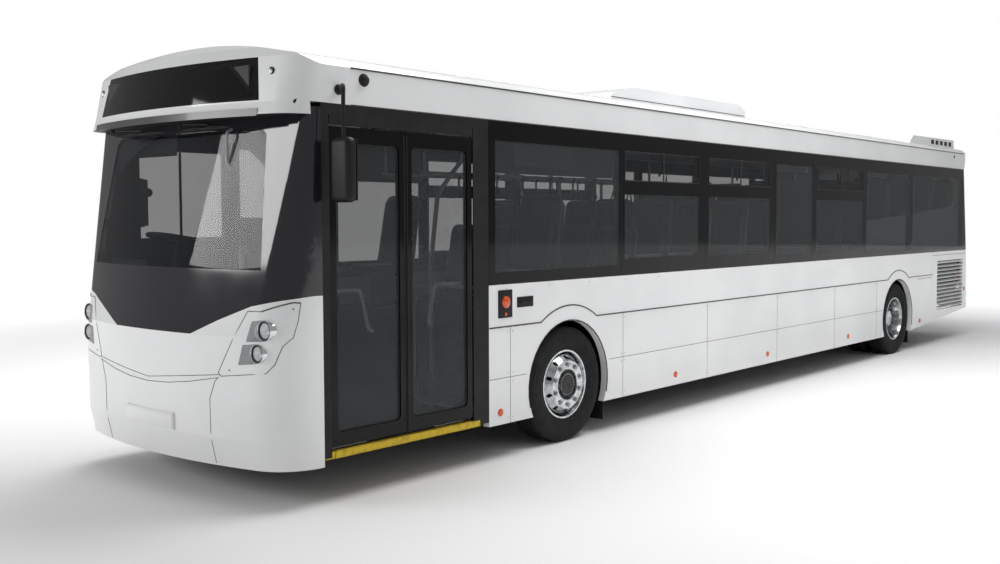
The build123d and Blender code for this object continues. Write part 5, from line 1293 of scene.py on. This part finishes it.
class BUS_OT_cab(bpy.types.Operator):
    """Fit the driver's instruments, pedals, ticket machine and sun blind"""
    bl_idname = "bus.cab"
    bl_label = "Cab"

    def execute(self, context):
        x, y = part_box("dashboard")[0].x + 0.10, DRIVER_Y

        def across(section, middle, half):
            """A section of (distance from the dashboard's edge, level) drawn out across the bus."""
            return sheet_along([(x + dx, middle - half, z) for dx, z in section], (0, 2 * half, 0))

        hood = across([(0, 1.440), (-0.038, 1.460), (0.010, 1.552), (0.085, 1.566), (0.110, 1.484),
                       (0.035, 1.484)], y, 0.24)
        apply_modifier(hood, "BEVEL", width=0.014, segments=3, limit_method="ANGLE")
        radio = block((x + 0.04, y + 0.31, 1.40), (x + 0.10, y + 0.39, 1.52), 0.008)
        settle(joined([hood, radio]), "instrument_hood", "black_plastic")
        dials = [turned([(0, 0.0), (r, 0.0), (r + 0.004, 0.006), (r, 0.008), (r - 0.004, 0.003), (0, 0.003)],
                        (x - 0.022, y + dy, 1.49), "X", 1, 24) for dy,
                 r in ((-0.11, 0.055), (0.03, 0.055), (0.13, 0.032))]
        for dial in dials:
            turn_piece(dial, math.pi, "Z", (x - 0.022, y, 1.49))
        settle(joined(dials), "instrument_dials", "lining", slot="lamp_lens")
        buttons = [block((x + 0.005, place, 1.335), (x + 0.022, place + 0.024, 1.36), 0.003, 1)
                   for place in (y - 0.24 + i * 0.034 for i in range(14))]
        settle(joined(buttons), "dash_switches", "seam_rubber", slot="black_plastic")
        pedals = []
        for dy in (-0.10, 0.10):
            pedals.append(across([(-0.24, 0.73), (-0.225, 0.725), (-0.16, 0.86), (-0.175, 0.868)], y + dy, 0.04))
            pedals.append(tube([(x - 0.165, y + dy, 0.855), (x - 0.07, y + dy, 0.83)], 0.010, 0, 2))
        settle(joined(pedals), "pedals", "black_plastic")
        machine = block((5.52, -0.30, 1.605), (5.72, -0.10, 1.86), 0.018, 3)
        stand = block((5.58, -0.258, 1.20), (5.66, -0.20, 1.61), 0.006)
        settle(joined([machine, stand]), "ticket_machine", "black_plastic")
        screen = block((5.55, -0.1015, 1.70), (5.69, -0.0975, 1.83), 0.003, 1)
        settle(screen, "ticket_screen", "display_panel", slot="black_plastic")
        top = block((4.80, -0.275, 1.592), (5.70, -0.215, 1.622), 0.010, 3)
        settle(top, "cab_screen_rail", "rail_steel")
        glazing = block((4.8, -0.249, 1.62), (5.50, -0.243, 2.08), 0.001, 1)
        settle(glazing, "cab_screen_glass", "clear_glass")
        blind = turned([(0, -0.42), (0.022, -0.42), (0.022, 0.42), (0, 0.42)], (6.22, y, 2.455), "Y", 1, 20)
        sheet = block((6.232, y - 0.41, 2.30), (6.236, y + 0.41, 2.45), 0.001, 1)
        settle(joined([blind, sheet]), "sun_blind", "seam_rubber", slot="black_plastic")
        settle(tube([(5.72, -0.22, 1.62), (5.72, -0.22, 0.347)], 0.017, 0, 3), "cab_post", "rail_steel")
        return {"FINISHED"}


class BUS_OT_roof(bpy.types.Operator):
    """Fit hatches, unit grilles, camera domes and marker lamps to the roof"""
    bl_idname = "bus.roof"
    bl_label = "Roof"

    def execute(self, context):
        lids, rims = [], []
        for x in (3.6, -2.4, -4.6):
            rims.append(block((x - 0.36, -0.36, 3.006), (x + 0.36, 0.36, 3.030), 0.012, 3))
            lids.append(block((x - 0.33, -0.33, 3.024), (x + 0.33, 0.33, 3.060), 0.022, 4))
        settle(joined(rims), "hatch_rims", "black_plastic")
        settle(joined(lids), "roof_hatches", "white_paint")
        seams = [block((-0.18, y, 2.985), (2.36, y + 0.003, 2.992)) for y in (-0.782, 0.779)]
        settle(joined(seams), "unit_seams", "gap", slot="black_plastic")
        slats = [block((x, 1.058, 2.945), (x + 0.115, 1.063, 3.008),
                       0.004) for x in (-6.24 + i * 0.19 for i in range(5))]
        settle(joined(slats), "rear_housing_vents", "seam_rubber", slot="black_plastic")
        eye = (5.783, SIDE_Y - 0.004, 2.760)
        ball = turned([(0.0, 0.0), (0.040, 0.0), (0.043, 0.006), (0.040, 0.014), (0.030, 0.016), (0.030, 0.017),
                       (0.027, 0.030),
                       (0.019, 0.040), (0.008, 0.045), (0, 0.046)], eye, steps=28)
        tear = turned([(0.0, -0.002), (0.036, -0.002), (0.034, 0.008), (0.022, 0.020), (0.0, 0.024)],
                      (-5.832, 1.232, 2.765), steps=24)
        settle(ball, "side_camera", "seam_rubber", slot="black_plastic")
        settle(both_sides([tear]), "rear_side_markers", "seam_rubber", slot="lamp_lens")
        crown = [(y, roof_level(y) + 0.0005) for y in (-1.08 + 2.16 * i / 20 for i in range(21))]
        joints = [tube([(x, y, z) for y, z in crown], 0.0018, 0, 1) for x in (-4.2, -2.1, -0.5, 2.6, 4.5)]
        settle(joined(joints), "roof_joints", "gap", slot="black_plastic")
        return {"FINISHED"}


class BUS_OT_tail(bpy.types.Operator):
    """Fit lamps, window seal, plate, latches and vents to the tail"""
    bl_idname = "bus.tail"
    bl_label = "Tail"

    # Level and finish of each lamp
    LAMPS = ((0.760, "lamp_lens"), (0.900, "amber_lens"), (1.040, "red_lens"), (1.180, "red_lens"))
    LAMP_Y = 1.120

    def on_tail(self, y, z, lift=0.0):
        point = on_end(y, z, TAIL_TABLE, lift)
        return Vector((-point.x, point.y, point.z))

    def execute(self, context):
        domes, rings = {}, []
        for z, finish in self.LAMPS:
            place = self.on_tail(self.LAMP_Y, z)
            dome = turned([(0.0, -0.002), (0.050, -0.002), (0.049, 0.004), (0.040, 0.008), (0.02, 0.011),
                           (0, 0.012)], place, "X", steps=28)
            rings.append(turned([(0.0502, -0.004), (0.057, -0.002), (0.056, 0.006), (0.051, 0.007),
                                 (0.0502, 0.004)], place, "X", steps=28))
            for piece in (dome, rings[-1]):
                turn_piece(piece, math.pi, "Z", place)
            domes.setdefault(finish, []).append(dome)
        for finish, pieces in domes.items():
            piece = settle(both_sides(pieces), f"tail_{finish}", finish, slot="lamp_lens")
            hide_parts("lamps")
        settle(both_sides(rings), "tail_lamp_rings", "black_plastic")
        path = [self.on_tail(y, z) for y, z in ((0, 1.482), (0.948, 1.482), (0.948, 2.378), (-0.948, 2.378),
                                                (-0.948, 1.482), (0, 1.482))]
        settle(tube(path, 0.009, 0.03, 2), "rear_window_seal", "seam_rubber", slot="flap_rubber")
        slats = []
        for i in range(9):
            z = 0.70 + i * 0.045
            for y0, y1 in ((-0.68, -0.08), (0.08, 0.68)):
                place = self.on_tail((y0 + y1) / 2, z)
                slats.append(sheet_along([(place.x + 0.016, y0, z - 0.008), (place.x - 0.007, y0, z - 0.006),
                                          (place.x - 0.009, y0, z),
                                          (place.x + 0.016, y0, z + 0.012)], (0, y1 - y0, 0)))
        settle(joined(slats), "engine_door_louvres", "black_plastic", "engine_door")
        locks = []
        for y in (-0.55, 0.55):
            place = self.on_tail(y, 0.615)
            locks.append(block((place.x - 0.012, y - 0.06, 0.595), (place.x + 0.004, y + 0.06, 0.635), 0.005))
        settle(joined(locks), "engine_door_latches", "seam_rubber", "engine_door", "black_plastic")
        lines = [[(y, 0.47), (y, 1.33)] for y in (-1.02, 1.02)]
        lines += [[(-1.16 + 2.32 * i / 10, z) for i in range(11)] for z in (1.39, 2.46)]
        seams = [tube([self.on_tail(y, z) for y, z in line], 0.0022, 0, 1) for line in lines]
        settle(joined(seams), "tail_seams", "gap", slot="black_plastic")
        place = self.on_tail(0, 0.50)
        carrier = block((place.x - 0.012, -0.275, 0.462), (place.x + 0.004, 0.275, 0.548), 0.004)
        settle(carrier, "rear_plate_carrier", "black_plastic")
        blank = block((place.x - 0.0155, -0.262, 0.468), (place.x - 0.010, 0.262, 0.542), 0.003)
        settle(blank, "rear_blank_plate", "white_paint")
        high_lamp = self.on_tail(0, 2.70)
        bar = block((high_lamp.x - 0.010, -0.16, 2.686), (high_lamp.x + 0.03, 0.16, 2.716), 0.008)
        settle(bar, "high_brake_lamp", "red_lens", slot="lamp_lens")
        glass_x = self.on_tail(0, 2.26).x
        display = block((glass_x + 0.05, -0.42, 2.14), (glass_x + 0.075, 0.42, 2.34), 0.006)
        settle(display, "rear_display", "display_panel", slot="black_plastic")
        place = self.on_tail(0.92, 0.52)
        reflex = turned([(0, -0.002), (0.036, -0.002), (0.034, 0.006), (0, 0.008)], place, "X", steps=20)
        turn_piece(reflex, math.pi, "Z", place)
        settle(both_sides([reflex]), "rear_reflectors", "red_lens", slot="lamp_lens")
        return {"FINISHED"}


class BUS_OT_underside(bpy.types.Operator):
    """Hang tanks, shafts, springs, brakes and the exhaust under the floor"""
    bl_idname = "bus.underside"
    bl_label = "Underside"

    def execute(self, context):
        shaft = [turned([(0, 0), (0.045, 0.0), (0.045, 0.66), (0, 0.66)], (-4.55, 0, 0.478), "X", steps=24)]
        for x in (-4.55, -3.94):
            shaft.append(turned([(0, 0), (0.072, 0.0), (0.072, 0.035), (0.05, 0.05), (0, 0.05)], (x, 0, 0.478),
                                "X", steps=24))
        settle(joined(shaft), "prop_shaft", "steel")
        tanks, bands = [], []
        for x0, x1, y in ((-0.2, 0.8, 0.78), (-0.2, 0.8, -0.78), (1.2, 2.2, 0.78)):
            length = x1 - x0
            tanks.append(turned([(0, 0), (0.045, 0.008), (0.064, 0.025), (0.069, 0.05), (0.069, length - 0.05),
                                 (0.064, length - 0.025),
                                 (0.045, length - 0.008), (0, length)], (x0, y, 0.238), "X", steps=28))
            for x in (x0 + 0.25, x1 - 0.25):
                bands.append(turned([(0.0690, -0.02), (0.0712, -0.02), (0.0712, 0.02), (0.0690, 0.02)],
                                    (x, y, 0.238), "X", steps=28))
        settle(joined(tanks), "air_tanks", "steel")
        settle(joined(bands), "tank_bands", "zinc", slot="steel")
        fuel = block((1.0, -1.12, 0.190), (2.15, -0.52, 0.307), 0.03, 4)
        straps = [block((x - 0.025, -1.123, 0.187), (x + 0.025, -0.517, 0.309), 0.03, 4) for x in (1.28, 1.87)]
        settle(fuel, "fuel_tank", "black_plastic")
        settle(joined(straps), "fuel_tank_straps", "zinc", slot="steel")
        bellows, rods = [], []
        profile = [(0, 0.0), (0.075, 0.0), (0.098, 0.022), (0.075, 0.045), (0.100, 0.068), (0.075, 0.09),
                   (0.0, 0.09)]
        for x in (REAR_HUB.x + 0.32, REAR_HUB.x - 0.32):
            bellows.append(turned(profile, (x, 0.43, 0.735), "Z", steps=28))
            rods.append(tube([(REAR_HUB.x, 0.47, 0.60), (x, 0.47, 0.70), (x, 0.43, 0.735)], 0.026, 0.04, 2))
        settle(both_sides(bellows), "air_springs", "flap_rubber")
        for x in (REAR_HUB.x + 0.14, REAR_HUB.x - 0.14):
            rods.append(turned([(0, 0), (0.026, 0), (0.026, 0.16), (0.018, 0.165), (0.018, 0.27), (0, 0.27)],
                               (x, 0.53, 0.54), "Z", steps=20))
        settle(both_sides(rods), "rear_suspension", "steel")
        pipe = tube([(-5.2, 0.30, 0.30), (-5.2, 0.60, 0.29), (-5.9, 0.62, 0.29), (-6.35, 0.66, 0.33)], 0.042,
                    0.09, 3)
        box = turned([(0, 0), (0.10, 0.01), (0.115, 0.05), (0.115, 0.55), (0.10, 0.59), (0, 0.60)],
                     (-5.95, 0.62, 0.30), "X", steps=28)
        settle(joined([pipe, box]), "exhaust", "zinc", slot="steel")
        drum = turned([(0.072, 0), (0.200, 0), (0.205, 0.005), (0.205, 0.105), (0.13, 0.105), (0.13, 0.010),
                       (0.072, 0.010)],
                      (REAR_HUB.x, 0.695, 0.478), steps=36)
        settle(both_sides([drum]), "rear_brakes", "steel")
        for side, sign in SIDES.items():
            disc = turned([(0.11, -0.033), (0.20, -0.033), (0.20, -0.004), (0.125, -0.004), (0.125, 0.072),
                           (0.11, 0.072)],
                          (FRONT_HUB.x, sign * FRONT_HUB.y, FRONT_HUB.z), side=sign, steps=36)
            settle(disc, f"front_brake_disc_{side}", "zinc", f"front_wheel_{side}", "steel")
        return {"FINISHED"}


class BUS_OT_stage(bpy.types.Operator):
    """Build the pale floor, the soft light and the camera"""
    bl_idname = "bus.stage"
    bl_label = "Studio"

    def floor(self):
        object_mode()
        bpy.ops.mesh.primitive_circle_add(vertices=96, radius=60, fill_type="NGON", location=(0, 0, 0))
        ground = bpy.context.object
        ground.name = "studio_floor"
        finish = new_finish("studio_floor_paint", "#ffffff", 0.9, Specular_IOR_Level=0.0)
        tree = finish.node_tree
        paths = add_node(finish, "ShaderNodeLightPath")
        distance = add_node(finish, "ShaderNodeVectorMath", {0: place_node(finish).outputs["Object"]},
                            operation="LENGTH")
        seen = add_node(finish, "ShaderNodeMath", {0: paths.outputs["Is Camera Ray"],
                                                   1: paths.outputs["Is Glossy Ray"]},
                        operation="MAXIMUM")
        seen = add_node(finish, "ShaderNodeMath", {0: seen.outputs[0], 1: paths.outputs["Is Transmission Ray"]},
                        operation="MAXIMUM")
        fade = add_node(finish, "ShaderNodeMapRange", {"Value": distance.outputs["Value"]}, From_Min=7.5,
                        From_Max=12.5)
        share = add_node(finish, "ShaderNodeMath", {0: seen.outputs[0], 1: fade.outputs["Result"]},
                         operation="MULTIPLY")
        white = add_node(finish, "ShaderNodeEmission", Strength=1.0)
        mix = add_node(finish, "ShaderNodeMixShader", {0: share.outputs[0], 1: shader_of(finish).outputs[0],
                                                       2: white.outputs[0]})
        tree.links.new(mix.outputs[0], tree.nodes["Material Output"].inputs["Surface"])
        ground.data.materials.append(finish)

    def softbox(self, name, place, aim, size, power):
        object_mode()
        bpy.ops.object.light_add(type="AREA", location=place)
        lamp = bpy.context.object
        lamp.name = name
        lamp.data.shape = "RECTANGLE"
        lamp.data.size, lamp.data.size_y = size
        lamp.data.energy = power
        lamp.rotation_euler = (Vector(aim) - Vector(place)).to_track_quat("-Z", "Y").to_euler()

    def execute(self, context):
        studio = context.scene.bus_studio
        self.floor()
        world = bpy.data.worlds.new("even_sky")
        context.scene.world = world
        world.use_nodes = True
        tree = world.node_tree
        plain = tree.nodes["Background"]
        plain.inputs["Color"].default_value = (1, 1, 1, 1)
        plain.inputs["Strength"].default_value = studio.sky
        backdrop = tree.nodes.new("ShaderNodeBackground")
        backdrop.inputs["Color"].default_value = (1, 1, 1, 1)
        backdrop.inputs["Strength"].default_value = 1.0
        paths = tree.nodes.new("ShaderNodeLightPath")
        most = tree.nodes.new("ShaderNodeMath")
        most.operation = "MAXIMUM"
        tree.links.new(paths.outputs["Is Camera Ray"], most.inputs[0])
        tree.links.new(paths.outputs["Is Transmission Ray"], most.inputs[1])
        mix = tree.nodes.new("ShaderNodeMixShader")
        tree.links.new(most.outputs[0], mix.inputs[0])
        tree.links.new(plain.outputs[0], mix.inputs[1])
        tree.links.new(backdrop.outputs[0], mix.inputs[2])
        tree.links.new(mix.outputs[0], tree.nodes["World Output"].inputs["Surface"])
        self.softbox("overhead_softbox", (1, 0, 9), (0, 0, 0), (13, 4.5), studio.softbox)
        self.softbox("front_softbox", (15, -6, 5), (4, 0, 1.2), (6, 3), studio.softbox * 0.35)

        object_mode()
        bpy.ops.object.camera_add(location=studio.camera_place)
        camera = bpy.context.object
        camera.name = "photo_camera"
        camera.rotation_euler = Vector(studio.camera_aim).to_track_quat("-Z", "Y").to_euler()
        camera.data.sensor_width = 36
        camera.data.lens = studio.focal_length
        camera.data.shift_x = -0.05664
        camera.data.shift_y = -0.00578
        camera.data.clip_end = 200
        context.scene.camera = camera
        context.scene.view_settings.view_transform = "Standard"
        return {"FINISHED"}


class BUS_PT_dressing(bpy.types.Panel):
    """Sidebar panel with the sizes and the building steps"""
    bl_label = "City Bus"
    bl_idname = "BUS_PT_dressing"
    bl_space_type = "VIEW_3D"
    bl_region_type = "UI"
    bl_category = "City Bus"

    def draw(self, context):
        column = self.layout.column()
        for group in (context.scene.bus_colours, context.scene.bus_studio):
            for name in group.bl_rna.properties.keys():
                if name not in ("rna_type", "name"):
                    column.prop(group, name)
        for step in STEPS:
            column.operator(step.bl_idname)


STEPS = [BUS_OT_finishes, BUS_OT_tyres, BUS_OT_wheel_nuts, BUS_OT_body_seams, BUS_OT_side_fittings, BUS_OT_front,
         BUS_OT_wipers, BUS_OT_mirrors, BUS_OT_doors, BUS_OT_glazing, BUS_OT_seat_pads, BUS_OT_saloon,
         BUS_OT_cab, BUS_OT_roof,
         BUS_OT_tail, BUS_OT_underside, BUS_OT_stage]
CLASSES = [BusColours, BusStudio, *STEPS, BUS_PT_dressing]


def register():
    for entry in CLASSES:
        bpy.utils.register_class(entry)
    bpy.types.Scene.bus_colours = bpy.props.PointerProperty(type=BusColours)
    bpy.types.Scene.bus_studio = bpy.props.PointerProperty(type=BusStudio)


def unregister():
    del bpy.types.Scene.bus_studio
    del bpy.types.Scene.bus_colours
    for entry in reversed(CLASSES):
        bpy.utils.unregister_class(entry)


def main():
    register()
    for step in STEPS:
        group, action = step.bl_idname.split(".")
        getattr(getattr(bpy.ops, group), action)()


if __name__ == "__main__":
    main()
